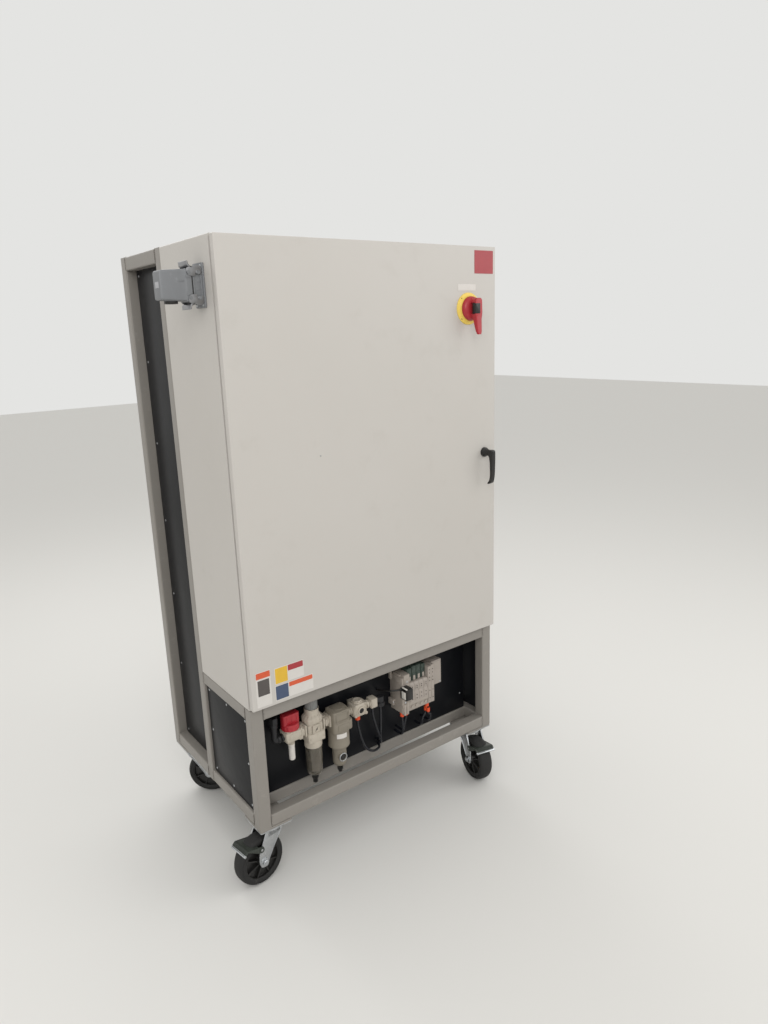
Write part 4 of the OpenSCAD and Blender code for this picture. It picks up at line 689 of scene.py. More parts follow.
buildPads(castorSet)
for castorNumber in range(4):
    buildFork(castorNumber, castorSet)
    buildWheel(castorNumber, castorSet)
    if castorNumber < castorSet["braked"]:
        buildPedal(castorNumber, castorSet)
print("castors built")

# Door: folded pan with soft front edges, and a faint mark on its face
doorSet = {"left": 1.0, "right": 913.4, "high": 1219.2, "deep": 20.0, "sheet": 1.9, "fold": 2.4, "lip": 12.0,
           "corner": 2.6, "hingeLip": 2.6, "mark": (258, 0, 668), "markSize": 2.1}


def buildDoor(s):
    def outline(inset, y, hingeIn=None):
        left = s["left"] + (inset if hingeIn is None else hingeIn)
        points = roundRect(left, inset, s["right"] - inset, s["high"] - inset, max(s["corner"] - inset * 0.6, 0.5), 5)
        return outlineAt("y", points, y)

    fold, deep, sheet, lip = s["fold"], s["deep"], s["sheet"], s["lip"]
    steps = [math.radians(18 * k) for k in range(6)]
    rings = [outline(fold * (1 - math.sin(a)), fold * (1 - math.cos(a))) for a in steps]
    rings += [outline(0, deep - 1.6), outline(0.4, deep - 0.5), outline(1.4, deep),
              outline(lip, deep, s["hingeLip"]), outline(lip, deep - sheet, s["hingeLip"]),
              outline(sheet, deep - sheet), outline(sheet, sheet)]
    Shape("doorPan").loft(rings).done("cabinet_paint", "door", body="door_leaf", angle=40)
    Shape("doorScrew").head(s["mark"], "y", -1, s["markSize"], "pan").done("duct_grey", body="door_leaf")


buildDoor(doorSet)

# Blank plates: left, low, right and high side, height over the door, slot and finish
plates = {
    "plateRed": (826.5, 1142, 903, 1207.5, 0.7, "knob_red", "plateRed"),
    "plateWhite": (760, 1093, 831, 1111.5, 0.7, "plug_white", "plateWhite"),
    "plateTallBase": (15, 8, 60, 110, 0.4, "plug_white", "plateWhite"),
    "plateTallBand": (16.5, 91, 58.5, 108.5, 0.7, "fitting_orange", "plateOrange"),
    "plateTallField": (20, 40, 55, 86, 0.7, "device_grey", "plateDark"),
    "plateUpperBase": (72, 58, 164, 107, 0.4, "plug_white", "plateWhite"),
    "plateUpperField": (74, 60, 112, 105, 0.7, "switch_yellow", "plateYellow"),
    "plateUpperBand": (114, 88, 162, 105, 0.7, "knob_red", "plateRed"),
    "plateLowerBase": (71, 10, 192, 55, 0.4, "plug_white", "plateWhite"),
    "plateLowerField": (73, 12, 112, 53, 0.7, "device_grey", "plateBlue"),
    "plateLowerBand": (115, 40, 190, 53, 0.7, "fitting_orange", "plateOrange")}

for plateName, (x0, z0, x1, z1, lift, plateSlot, plateFinish) in plates.items():
    film = Shape(plateName).slab((x0, z0, x1, z1), 1.5, 4, "y", -lift, -0.02, 0.12, 1)
    film.done(plateSlot, None, plateFinish, body="door_leaf")
print("door built")

# Connector on the left side: wall housing, hood, cable entry and two locking levers
plugSet = {"at": (0, 88, 1107), "flange": (28, 52, 5), "step": (24, 45, 9), "wall": (22, 37), "peg": (-15, 29),
           "hoodPeg": -38, "entry": (-78, -42), "bore": 11, "arm": 23.6, "plate": 2.4}


# A pin across the hood or the housing with a round end at each side
def pegProfile(rows):
    return [(r, -y) for r, y in rows] + [(r, y) for r, y in reversed(rows)]


def buildConnector(s):
    at, (wallY, wallZ), (pegX, pegZ) = s["at"], s["wall"], s["peg"]
    housing = Shape("connectorHousing", at)
    half, tall, thick = s["flange"]
    housing.slab((-half, -tall, half, tall), 5, 5, "x", -thick, -0.02, 1.0)
    half, tall, out = s["step"]
    housing.slab((-half, -tall, half, tall), 7, 5, "x", -out, -4.5, 1.6)
    rim = ((0, -8.5), (0, -23.5), (1.2, -24.6), (1.2, -27.4), (0.6, -28), (-2.6, -28), (-3.4, -27), (-3.4, -10))
    housing.loft([rectRing("x", wallY + grow, wallZ + grow, 6, x) for grow, x in rim])
    peg = pegProfile([(0, 29), (4.2, 29), (4.6, 28.2), (4.6, 26.6), (3, 26.4)])
    for side in sides:
        for z in (-26, -9, 9, 26):
            rib = [(-8.8, side * 21.5), (-8.8, side * 24), (-21, side * 22.2), (-21, side * 21.5)]
            housing.prism(rib, "z", z - 1.3, z + 1.3, 0.3)
        for y in (-10, 10):
            rib = [(-8.8, side * 36.5), (-8.8, side * 43), (-19, side * 37.2), (-19, side * 36.5)]
            housing.prism(rib, "y", y - 1.3, y + 1.3, 0.3)
        housing.lathe(peg, "y", 20, (pegX, 0, side * pegZ))
    housing.done("connector_grey", "connector_housing")
    screws = Shape("connectorScrews", at)
    for y, z in ((-19, -44), (-19, 44), (19, -44), (19, 44)):
        screws.head((-thick, y, z), "x", -1, 4.4, "pan")
    screws.done("zinc")
    insert = Shape("connectorInsert", at)
    insert.slab((-17.5, -25, 17.5, 25), 2, 3, "x", -22, 26, 0.6)
    band = [(0.4, -31.6), (0.4, -27.9), (-3, -27.7), (-3, -31.6)]
    insert.loft([rectRing("x", wallY + grow, wallZ + grow, 6, x) for grow, x in band])
    insert.done("black_plastic")

    hood = Shape("connectorHood", at)
    body = [(23, 38, -31.4, 0), (23, 38, -43, 0), (22.6, 37.6, -45, 0.1), (21.9, 36.6, -46.5, 0.3),
            (21.8, 36.2, -60, 0.3), (21.4, 34.0, -98, 0), (21.2, 33.6, -104, -0.2), (20.6, 33, -106.8, -0.4),
            (19.2, 31.6, -108.5, -0.6), (17.4, 29.8, -109, -0.8)]
    hood.loft([rectRing("x", w, h, 6, x, (0, lift)) for w, h, x, lift in body])
    hood.slab((-66, 8.8, -49, 10.6), 0.8, 2, "y", -23.0, -20, 0.3)
    peg = pegProfile([(0, 27), (4.4, 27), (4.6, 26.4), (3, 26.2)])
    for side in sides:
        hood.lathe(peg, "y", 20, (s["hoodPeg"], 0, side * pegZ))
        hood.slab((-45.4, side * 20 - 4, -33, side * 20 + 4), 2, 3, "y", -24.0, -22, 0.7)
    (entryX, low), bore = s["entry"], s["bore"]
    collar = [(bore, 6), (15.6, 6), (16.4, 8), (16.4, 16), (bore, 16)]
    hood.lathe([(r, low + z) for r, z in collar], "z", 40, (entryX, 0, 0))
    hood.done("connector_grey", "connector_hood")
    ring = [(bore, 0), (14.8, 0), (16, 1), (16, 6.2), (bore, 6.2)]
    gland = Shape("cableEntryRing", at).lathe([(r, low + z) for r, z in ring], "z", 60, (entryX, 0, 0),
                                              (low + 0.5, low + 5, 0.9, 20))
    gland.done("black_plastic")
    tag = Shape("connectorTag", at).slab((-14.5, -6.5, 7, 7.5), 1.2, 3, "x", -109.7, -107.8, 0.3)
    tag.done("plug_white", None, "hoodTag")

    arm = s["arm"]
    out = arm + s["plate"]
    cheek = soften([(10.5, -6, 3), (10.5, 8, 4), (6, 14, 4), (-2, 16, 6), (-19, 13.5, 6), (-27, 11, 4), (-28.5, 3, 3),
                    (-27, -4, 3), (-19.5, -8, 3), (-8, -8.5, 2), (-6, -2, 2), (-3, -2, 2)], 2, 4)
    tab = soften([(-12, 10.5, 1), (-14, 13, 2), (-19, 15.5, 3), (-22, 18, 3), (-24, 26, 1), (-26.5, 26.5, 1),
                  (-26, 15, 4), (-20, 11.5, 3)], 1, 4)
    for up, end in ((1, "upper"), (-1, "lower")):
        lever = Shape("lever_latch_" + end, (at[0] + pegX, at[1], at[2] + up * pegZ))
        for side in sides:
            lever.prism([(x, up * z) for x, z in cheek], "y", side * arm, side * out, 0.5)
            rivet = [(4.9, -0.1), (4.9, 0.6), (4.4, 0.9), (3.1, 0.9), (3.1, -0.1)]
            lever.lathe([(r, side * (out + y)) for r, y in rivet], "y", 20)
        lever.prism([(x, up * z) for x, z in tab], "y", -out, out, 0.5)
        lever.done("lever_zinc", "hood_lever_" + end, body="latch_" + end)


buildConnector(plugSet)
print("connector built")

# Main switch: yellow plate, red dome with a grip and a padlock window behind its front bar
switchSet = {"at": (800.4, 0, 1041.5), "plate": 46, "bore": 5.06, "neck": 8.8, "face": -47, "bar": 5,
             "window": (-18, 16), "back": -19, "screws": 41.6, "lean": 0.07}


# The part of an outline above a level
def cutOutline(outline, level):
    kept = []
    for before, here in zip(outline[-1:] + outline[:-1], outline):
        if (here[1] >= level) != (before[1] >= level):
            t = (level - before[1]) / (here[1] - before[1])
            kept.append((before[0] + (here[0] - before[0]) * t, level))
        if here[1] >= level:
            kept.append(here)
    return kept


def buildSwitch(s):
    wide, bore, neck, face, bar, (low, high) = s["plate"], s["bore"], s["neck"], s["face"], s["bar"], s["window"]
    plate = Shape("switchPlate", s["at"])
    profile = [(wide, -0.02), (wide, -2.0), (45.2, -3.2), (43.4, -4.0), (41, -4.6), (39.4, -5.6), (38.4, -6.6),
               (37.8, -9.2), (36.6, -10), (bore, -10), (bore, 8), (neck, 8), (neck, -0.02)]
    plate.lathe(profile, "y", 96, ribs=(-6.7, -4.8, 0.8, 24, 3))
    plate.done("switch_yellow", "switch_plate", body="door_leaf")
    marks = Shape("switchPlateScrews", s["at"])
    for angle in (45, 135, 225, 315):
        a = math.radians(angle)
        marks.head((s["screws"] * math.cos(a), -4.2, s["screws"] * math.sin(a)), "y", -1, 1.9, "pan")
    marks.done("black_plastic", body="door_leaf")

    knob = Shape("switchGrip", s["at"])
    dome = [(0, -10.06), (34.4, -10.06), (35, -10.8), (35, -14), (34.3, -17.6), (32.2, -21), (28.6, -23.8),
            (24, -25.4), (18, -26.1), (0, -26.4)]
    knob.lathe(dome, "y", 80, ribs=(-17, -11, 0.9, 28, 2))
    right = [(9, 29, 5), (13, 23, 6), (14, -16, 8), (11, -30, 10), (9, -69, 6), (5, -75, 4)]
    outline = soften([(-9, 29, 5)] + right + [(-x, z, r) for x, z, r in reversed(right[1:])], 4, 5)
    knob.prism(outline, "y", face, face + bar, 2.0, None, 3)
    knob.prism(cutOutline(outline, high), "y", face + 2.2, s["back"])
    # The grip below the dome narrows and comes forward: half width, back and height of each ring
    grip = [(14, -19, -17), (13.2, -22, -20), (11.4, -27, -28), (10.8, -31, -34), (10, -36, -52), (9.2, -40, -66),
            (8, -42, -71), (5, -43.5, -75)]
    rings = []
    for w, back, z in grip:
        front, radius = face + 0.4 + s["lean"] * (z - grip[0][2]), min(w - 2.6, 3.4)
        rings.append(rectRing("z", w, (back - front) / 2, radius, z, (0, (back + front) / 2)))
    knob.loft(rings).lathe([(0, 6), (5, 6), (5, -10.5), (0, -10.5)], "y", 24)
    knob.done("knob_red", "switch_knob", body="switch_grip")
    slide = Shape("switchPadlockSlide", s["at"])
    slide.slab((-14.4, low + 2.5, 4.5, high - 2), 2.4, 4, "y", face - 0.4, face + bar + 9, 0.8)
    slide.done("black_plastic", body="switch_grip")


buildSwitch(switchSet)

# Latch handle
handleSet = {"at": (866.4, 0, 602), "boss": 15, "shaft": 6, "bore": 6.04, "neck": 7.8, "half": 7.6}


def buildHandle(s):
    bore, neck, boss, half = s["bore"], s["neck"], s["boss"], s["half"]
    base = Shape("handleBase", s["at"])
    base.lathe([(bore, -12), (10.2, -12), (11.2, -11.2), (12.2, -8.2), (14.2, -7.4), (boss, -6), (boss, -0.02),
                (neck, -0.02), (neck, 9), (bore, 9)], "y", 56)
    base.lathe([(neck - 0.1, 2), (9.5, 2), (9.5, 7), (8.8, 7.8), (neck - 0.1, 7.8)], "y", 6)
    base.done("black_plastic", "handle_base", body="door_leaf")
    lever = Shape("handleLever", s["at"])
    outline = [(-12.3, 7, 2), (-34, 10, 6), (-42.6, 8, 6), (-44, 1, 5), (-44, -30, 20), (-42, -74, 26), (-37, -95, 12),
               (-25, -100.5, 3), (-21, -97.5, 2), (-30, -88, 10), (-33.5, -72, 20), (-32, -28, 24), (-28, -9, 8),
               (-12.3, -7, 2)]
    lever.prism(soften(outline, 4, 7), "x", -half, half, 1.5, None, 3)
    lever.lathe([(0, -12.1), (9.6, -12.1), (10.4, -13), (10.4, -19), (8.6, -23), (0, -24)], "y", 40)
    lever.lathe([(0, 39.8), (5.2, 39.8), (s["shaft"], 39), (s["shaft"], -12.5), (0, -12.5)], "y", 28)
    lever.done("black_plastic", "handle_lever", body="handle")
    cap = Shape("handleCap", s["at"]).slab((-5.2, -5.4, 5.2, 6.4), 2.4, 4, "y", -44.6, -42, 0.3)
    cap.done("black_plastic", body="handle")


buildHandle(handleSet)
print("switch and handle built")

# Compressed-air unit. Every unit stands on the same port axis; x values are from the cabinet's left side.
airSet = {"y": 73, "port": -155, "panel": 112.7, "shut": 147, "reg": 221, "sep": 312, "tee": 385.5, "end": (431, 455),
          "links": ((173, 192), (250, 277)), "regLow": -40, "sepLow": -39, "sight": (-3, 0, -91), "tubeLow": -322,
          "bend": 18, "tube": 4}


def airShape(name, x, s, z=0.0):
    return Shape(name, (x, s["y"], s["port"] + z))


# A turned piece with both edges broken, and the same with six sides
def puck(shape, axis, low, high, radius, edge, count, at=(0, 0, 0)):
    profile = [(0, low), (radius - edge, low), (radius, low + edge), (radius, high - edge), (radius - edge, high)]
    shape.lathe(profile + [(0, high)], axis, count, at)


def hexBand(shape, axis, low, high, radius):
    puck(shape, axis, low, high, radius, radius * 0.08, 6)


def buildInlet(s):
    inlet = airShape("airInletElbow", s["shut"] - 26, s)
    hexBand(inlet, "x", -7, -0.02, 13)
    inlet.lathe([(0, -18), (11.4, -18), (12, -16.5), (12, -11), (10.6, -9.5), (0, -7)], "x", 32)
    inlet.tube(bendPath([(-12, 0, 0), (-28, 0, 0), (-28, 0, 50)], 15, 9), 9.2, 24)
    inlet.lathe([(0, 38), (11.2, 40), (11.8, 42), (11.8, 50), (10.6, 53), (0, 54)], "z", 32, (-28, 0, 0))
    nut = [(6.5, 46), (6.5, 74), (13.2, 74), (14, 72.8), (14, 55), (13.2, 53.8), (9, 53.8)]
    inlet.lathe(nut, "z", 6, (-28, 0, 0))
    inlet.done("fitting_dark", "air_inlet")


def buildShutoff(s):
    body, holeShade = airShape("shutoffBody", s["shut"], s), airShape("shutoffHoles", s["shut"], s)
    body.slab((-26, -22, 26, 22), 6, 5, "z", -12, 18, 1.8)
    body.slab((-22, -19, 22, 19), 8, 5, "z", 17, 22, 0.8)
    body.lathe([(0, 22), (21, 22), (22, 21.4), (22, 18), (0, 18)], "z", 48)
    shield = [(-15, -6, 2), (15, -6, 2), (15, 9, 2), (10, 13, 3), (-10, 13, 3), (-15, 9, 2)]
    body.prism(soften(shield, 2), "y", -23.2, -21, 0.6)
    for side in sides:
        screw = (side * 20, 0, -9)
        body.lathe([(2.2, -24), (4.4, -24), (5, -23.4), (5, -18), (2.2, -18)], "y", 24, screw)
        body.lathe([(5.6, 21), (5.6, 23.2), (5, 24), (0, 24)], "y", 24, screw)
        body.box((side * 26 - 0.6, -9, -8), (side * 26 + 0.6, 9, 12))
        # Painted shade: a black disc deep in each screw bore stands for the dark inside of the hole
        holeShade.lathe([(0, -19.5), (2.3, -19.5), (2.3, -20.5), (0, -20.5)], "y", 16, screw)
    hexBand(body, "z", -20, -11, 12)
    body.lathe([(0, -30), (9.6, -30), (10.4, -29), (10.4, -19), (0, -19)], "z", 32)
    body.done("unit_white", "shutoff_body")
    holeShade.done("black_plastic")

    knob = airShape("shutoffKnob", s["shut"], s, 22.05)
    skirt = [(0, 0), (26.4, 0), (27.5, 1.4), (27.5, 12), (26.6, 14.4), (24.8, 18.6), (0, 19)]
    knob.lathe(skirt, "z", 112, ribs=(1, 13, 1.5, 14, 0.6))
    half = [(-27, -9, 4), (-21, -13.5, 5), (21, -13.5, 5), (27, -9, 4)]
    knob.prism(soften(half + [(x, -y, r) for x, y, r in reversed(half)], 4, 4), "z", 16, 48.5, 2.4, None, 3)
    for side in sides:
        for x in (-16, 0, 16):
            knob.slab((x - 1.4, 20, x + 1.4, 42), 1.3, 3, "y", side * 13.2, side * 14.6, 0.4)
    knob.done("knob_red", "shutoff_knob", body="air_shutoff")

    rings = [(0, 0), (9.4, 0), (10, -0.8), (10, -6.4), (9.4, -7.2), (8.3, -8.6), (8.3, -10.4), (9.3, -11.2)]
    for z in (-14 - k * 4.4 for k in range(7)):
        rings += [(9.4, z + 0.5), (8.9, z), (8.9, z - 0.6), (9.4, z - 1.1)]
    rings += [(9.3, -47), (8.6, -50.4), (6.4, -52.4), (3, -53), (0, -53)]
    silencer = airShape("silencer", s["shut"], s, -30).lathe(rings, "z", 36)
    silencer.done("plug_white", "silencer", "silencerFelt")


# Two blocks that join the units, then the tee and the end block
def buildLinks(s):
    link, depth = airShape("linkBlocks", 0, s), s["panel"] - s["y"]
    for x0, x1 in s["links"]:
        middle, half = (x0 + x1) / 2, (x1 - x0) / 2 - 5
        link.lathe([(0, x0 + 0.05), (14, x0 + 0.05), (14, x1 - 0.05), (0, x1 - 0.05)], "x", 36)
        for a, b in ((x0 + 0.05, x0 + 4.6), (x1 - 4.6, x1 - 0.05)):
            link.slab((-19, -19, 19, 19), 5, 4, "x", a, b, 0.8)
        link.box((middle - 6, 0, -17), (middle + 6, depth, 17), 1.0)
        for side in sides:
            link.head((middle, -11, side * 7.425), "y", -1, min(4.2, half - 0.2), "socket")
        link.box((middle - min(4, half), -15.5, -11), (middle + min(4, half), -9, 11), 1.2)
    tee, port = s["tee"], airShape("teePort", s["tee"], s)
    block = [(24, 20.5, -19), (25.5, 22, -16), (25.5, 22, 17), (23.5, 20, 21)]
    link.loft([rectRing("z", w, d, 12, z, (tee, 0)) for w, d, z in block])
    for side in sides:
        x, rib = tee + side * 19.5, tee + side * 17
        for z in (-15, 16.5):
            link.lathe([(0, -23.4), (4.2, -23.4), (5, -22.6), (5, -14), (0, -14)], "y", 20, (x, 0, z))
            link.head((x, -23.4, z), "y", -1, 2.6, "socket")
        link.slab((rib - 1.5, -11, rib + 1.5, 12), 1, 2, "y", -23.2, -21, 0.4)
    crown = [(0, 20), (17, 20), (17.6, 21), (17.6, 23), (16.6, 24.4), (14.6, 25), (14.6, 27.6), (13.6, 29), (9.6, 29),
             (9, 27.8), (0, 27.8)]
    link.lathe(crown, "z", 40, (tee, 0, 0))
    for k in range(8):
        turn = math.radians(45 * k + 22.5)
        stud = (tee + 15.6 * math.cos(turn), 15.6 * math.sin(turn), 0)
        link.lathe([(0, 22), (1.9, 22), (1.9, 26), (0, 26)], "z", 10, stud)
    link.lathe([(8.7, -26), (12.2, -26), (13, -25.2), (13, -21.5), (8.7, -21.5)], "y", 40, (tee, 0, 0))
    for low, high, radius in ((-38.45, -34.5, 13), (-34.6, -30.5, 10.8), (-30.6, -27, 13.6), (-27.2, -24, 12.4)):
        puck(link, "x", low, high, radius, 0.6, 36, (tee, 0, 0))
    link.box((tee - 12, 0, -15), (tee + 12, depth, 15), 1)
    x0, x1 = s["end"]
    nipple = [(0, tee + 24), (12, tee + 24), (12, tee + 29), (9.4, tee + 30), (9.4, x0 - 4), (12, x0 - 3),
              (12, x0 + 1), (0, x0 + 1)]
    link.lathe(nipple, "x", 36)
    link.lathe([(0, tee + 32), (13.4, tee + 32), (13.4, tee + 38), (0, tee + 38)], "x", 8)
    link.slab((x0, -15, x1, 15), 2.5, 4, "z", -15, 15, 1.4)
    link.slab((x0 + 4, -11, x1 - 4, 11), 1.5, 3, "y", -16, -14, 0.4)
    link.lathe([(0, -19), (4.6, -19), (5.4, -18), (5.4, -14), (0, -14)], "z", 20, ((x0 + x1) / 2, 0, 0))
    link.done("unit_white", "link_blocks")
    port.lathe([(0, -22.6), (8.8, -22.6), (8.8, -21.6), (0, -21.6)], "y", 28)
    port.lathe([(3.4, -24.4), (7.4, -24.4), (8.8, -23.4), (8.8, -22.4), (3.4, -22.4)], "y", 28)
    port.done("black_plastic")


# A square frame round a gauge: its outlines from the body's face outwards and back in
def gaugeFrame(shape, rings):
    shape.loft([outlineAt("y", outline, y) for outline, y in rings])


# A curved strip between two radii, from one angle over a span
def arcStrip(start, span, count, outer, inner):
    turns = [math.radians(start + span * k / count) for k in range(count + 1)]
    rows = [(outer, a) for a in turns] + [(inner, a) for a in reversed(turns)]
    return [(r * math.cos(a), r * math.sin(a)) for r, a in rows]


def buildRegulator(s):
    body, count = airShape("regulatorBody", s["reg"], s), 14
    body.slab((-29, -28, 29, 28), 6, 6, "z", -40, -13, 1.4)
    body.slab((-27.6, -26.6, 27.6, 26.6), 6, 6, "z", -14, -11, 0.8)
    body.slab((-25.5, -23.4, 25.5, 24), 8, 6, "z", -13, 15, 0.8)
    bonnet = [(25.5, 24, 16, 13), (25.8, 24.6, 18, 14), (25.8, 24.6, 18, 18), (27.5, 26.4, 20, 19), (28, 27, 21, 20.2),
              (28, 27, 21, 33), (27.2, 26.2, 21, 35), (24.4, 24, 20, 37.4), (21.8, 21.8, 19, 39.4),
              (21.2, 21.2, 20, 42), (20.6, 20.6, 20, 48), (20, 20, 19.6, 62)]
    body.loft([rectRing("z", w, d, r, z) for w, d, r, z in bonnet])
    # Ribs round the bonnet, each as far out as the bonnet's own side there
    base = body.local.copy()
    for k in range(count):
        a = 2 * math.pi * (k + 0.5) / count
        body.local = base @ Matrix.Rotation(a, 4, "Z")
        reach = min(28 / max(abs(math.cos(a)), 1e-3), 27 / max(abs(math.sin(a)), 1e-3), 30.4)
        rib = [(18, 45), (22.4, 43), (reach - 1.6, 36.4), (reach + 0.9, 33.6), (reach + 0.9, 21), (reach - 0.5, 19.6),
               (18, 19)]
        body.prism(rib, "y", -2.0, 2.0, 0.6)
    body.local = base
    body.lathe([(0, 58), (21.6, 58), (22, 58.6), (22, 61.4), (21.6, 62), (0, 62)], "z", 48)
    outer, inner = roundRect(-14.5, -13, 14.5, 16, 3, 4), roundRect(-11.5, -10, 11.5, 13, 2, 4)
    gaugeFrame(body, [(outer, -23.5), (outer, -28.2), (roundRect(-13.7, -12.2, 13.7, 15.2, 2.6, 4), -29), (inner, -29),
                      (inner, -26.6)])
    for side in sides:
        body.head((side * 23, -28, -26), "y", -1, 2.6, "socket")
        body.slab((side * 17.5 - 1.2, -11, side * 17.5 + 1.2, 13), 1, 2, "y", -25, -22, 0.4)
    body.done("unit_white", "regulator_body")
    dial = airShape("gaugeDial", s["reg"], s).slab((-11.4, -9.9, 11.4, 12.9), 2, 4, "y", -27.0, -26.5)
    dial.done("plug_white", None, "gaugeFace")
    needle = airShape("gaugeNeedle", s["reg"], s)
    needle.prism([(-5.6, -4.6), (-4.4, -5.6), (5.2, 7.6), (4.4, 8.2)], "y", -27.5, -27.0)
    needle.lathe([(0, -27.9), (2.2, -27.9), (2.2, -27.0), (0, -27.0)], "y", 16, (0, 0, 1))
    needle.done("black_plastic")

    knob = airShape("regulatorKnob", s["reg"], s, 62.05)
    profile = [(0, 0), (19, 0), (19.5, 0.6), (19.5, 3.4), (19.5, 3.6), (19.5, 27), (19.5, 29), (19, 31.4), (17.6, 34),
               (15, 36), (11, 37.1), (0, 37.5)]
    knob.lathe(profile, "z", 144, ribs=(3.5, 28, 1.3, 18, 1.4))
    knob.done("knob_grey", "regulator_knob", body="air_regulator")

    bowl, ring, element, paintedLitBand = [airShape(name, s["reg"], s, s["regLow"]) for name in
                                  ("regulatorBowl", "bowlCollar", "filterElement", "bowlShade")]
    bowl.lathe([(26.4, -21.8), (25.8, -60), (24.9, -98), (24.4, -107), (22.6, -113.4), (19.4, -117), (15, -118.8),
                (0, -118.8), (0, -115), (14, -114.8), (18, -113), (20.4, -109), (21.2, -103), (22.0, -60),
                (22.4, -21.8)], "z", 56)
    bowl.done("bowl_clear", "regulator_bowl")
    collar = [(22, -0.05), (26.6, -0.05), (27, -1), (27, -20.8), (26.4, -22.6), (24, -23.4), (22, -23.4)]
    ring.lathe(collar, "z", 96, ribs=(-20, -3, 1.2, 12, 4))
    ring.lathe([(10.5, -120), (14.4, -120), (15, -119.4), (15, -118.2), (10.5, -118.2)], "z", 36)
    ring.done("unit_white")
    element.lathe([(0, -4), (18, -4), (18, -12), (13.2, -13), (13.2, -62), (17.5, -64), (19, -71), (17, -73),
                   (6, -74.5), (4, -86), (3, -113), (0, -113)], "z", 96, ribs=(-62, -13, 1.0, 24))
    element.done("plug_white", None, "bowlShade")
    # Painted light: a pale strip inside the bowl on its front and right only, standing in for the bowl's lit side and
    # its pale reflecting band; the left, without it, stays dark as painted shade
    paintedLitBand.prism(arcStrip(-142, 122, 20, 21.0, 20.0), "z", -102, -23, 0.2)
    paintedLitBand.done("plug_white", None, "bowlShade")


def buildSeparator(s):
    head = airShape("separatorHead", s["sep"], s)
    head.slab((-35, -34, 35, 34), 12, 6, "z", -39, -8, 1.6)
    head.slab((-35, -34, 26, 20), 11, 6, "z", -9, 31, 2.2)
    head.slab((-31, 10, 22, 33), 8, 5, "z", -9, 12, 2.0)
    outer, inner = roundRect(-27, -3, 19, 26, 3, 4), roundRect(-24, 0, 16, 23, 2, 4)
    gaugeFrame(head, [(outer, -33), (outer, -35.6), (roundRect(-26.4, -2.4, 18.4, 25.4, 3, 4), -36.2), (inner, -36.2),
                      (inner, -34.3)])
    head.lathe([(0, 30), (17, 30), (17, 32), (16.4, 32.6), (0, 32.6)], "z", 40, (-4, -6, 0))
    for x, y in ((-27, -26), (18, -26), (-27, 12), (18, 12)):
        head.head((x, y, 31), "z", 1, 3.0, "socket")
    head.slab((-20, -33, 20, -14), 2, 4, "y", -35.4, -33, 0.7)
    head.done("separator_taupe", "separator_head")

    bowl, hoop, glass, plate = [airShape(name, s["sep"], s, s["sepLow"]) for name in
                                ("separatorBowl", "sightHoop", "sightGlass", "separatorPlate")]
    bowl.lathe([(0, -0.05), (33.2, -0.05), (34, -1), (34, -5), (33.4, -6), (33.4, -51), (34, -52), (34, -56),
                (32, -59.4), (28, -61.6), (25.5, -62.4), (25.5, -65.6), (22.6, -67), (22, -69), (22, -112),
                (21.4, -118.6), (18.4, -124.6), (14, -128.2), (9.6, -130.8), (0, -131)], "z", 64)
    bowl.lathe([(10.4, -26), (13.4, -26), (14, -25), (14, -16), (10.4, -16)], "y", 40, s["sight"])
    bowl.done("separator_taupe", "separator_bowl")
    rim = [(11.2, -27.4), (13.2, -27.8), (14.2, -26.8), (14.2, -25.2), (11.2, -25.2)]
    hoop.lathe(soften(rim, 0.6, 3), "y", 40, s["sight"]).done("zinc")
    glass.lathe([(0, -24.6), (8, -24.4), (11.3, -23.6), (11.3, -20), (0, -20)], "y", 36, s["sight"])
    glass.done("black_plastic")
    plate.prism(arcStrip(-131, 57, 12, 33.9, 33.1), "z", -22, -7).done("plug_white", None, "plateWhite")

    drains = airShape("drainCocks", 0, s)
    for x, top, wide, long in ((s["reg"], -160, 10.5, 31), (s["sep"], -170, 9, 24)):
        neck, low = wide - 3.5, top - long
        cock = [(0, top + 1.6), (neck, top + 1.6), (neck, top - 2.6), (wide, top - 3.4), (wide, top - 14),
                (wide - 1, top - 15.4), (wide - 3, top - 17), (wide - 3, low + 2), (wide - 4.4, low + 0.6), (3, low),
                (2.8, low + 6), (0, low + 6)]
        drains.lathe(cock, "z", 72, (x, 0, 0), (top - 14, top - 3.4, 0.9, 18))
    drains.done("black_plastic", "drain_cocks")


for buildUnit in (buildInlet, buildShutoff, buildLinks, buildRegulator, buildSeparator):
    buildUnit(airSet)
print("air unit built")

# Valve manifold, right of the air unit. Each plate's tuple gives its left and right side, then low and high end.
manifoldSet = {"front": 47, "back": 112.7, "end": (546, 554, -200, -102), "inlet": (554, 577, -108),
               "screw": (553, 577, -125, -92), "rail": (547, 681.8, -228, -196), "valve0": 578, "pitch": 19.2,
               "width": 18.5, "count": 4, "coilHigh": -80, "tall": (654.8, 681.8, -94),
               "cover": (681.8, 723.8, -176, -89), "plug": (538, 15, -166, 28, 32, 38), "leadY": 42,
               "fits": (555, 571), "double": 660.8, "step": 13, "fitY": 63}


def boxes(shape, rows):
    for low, high, bevel in rows:
        shape.box(low, high, bevel)


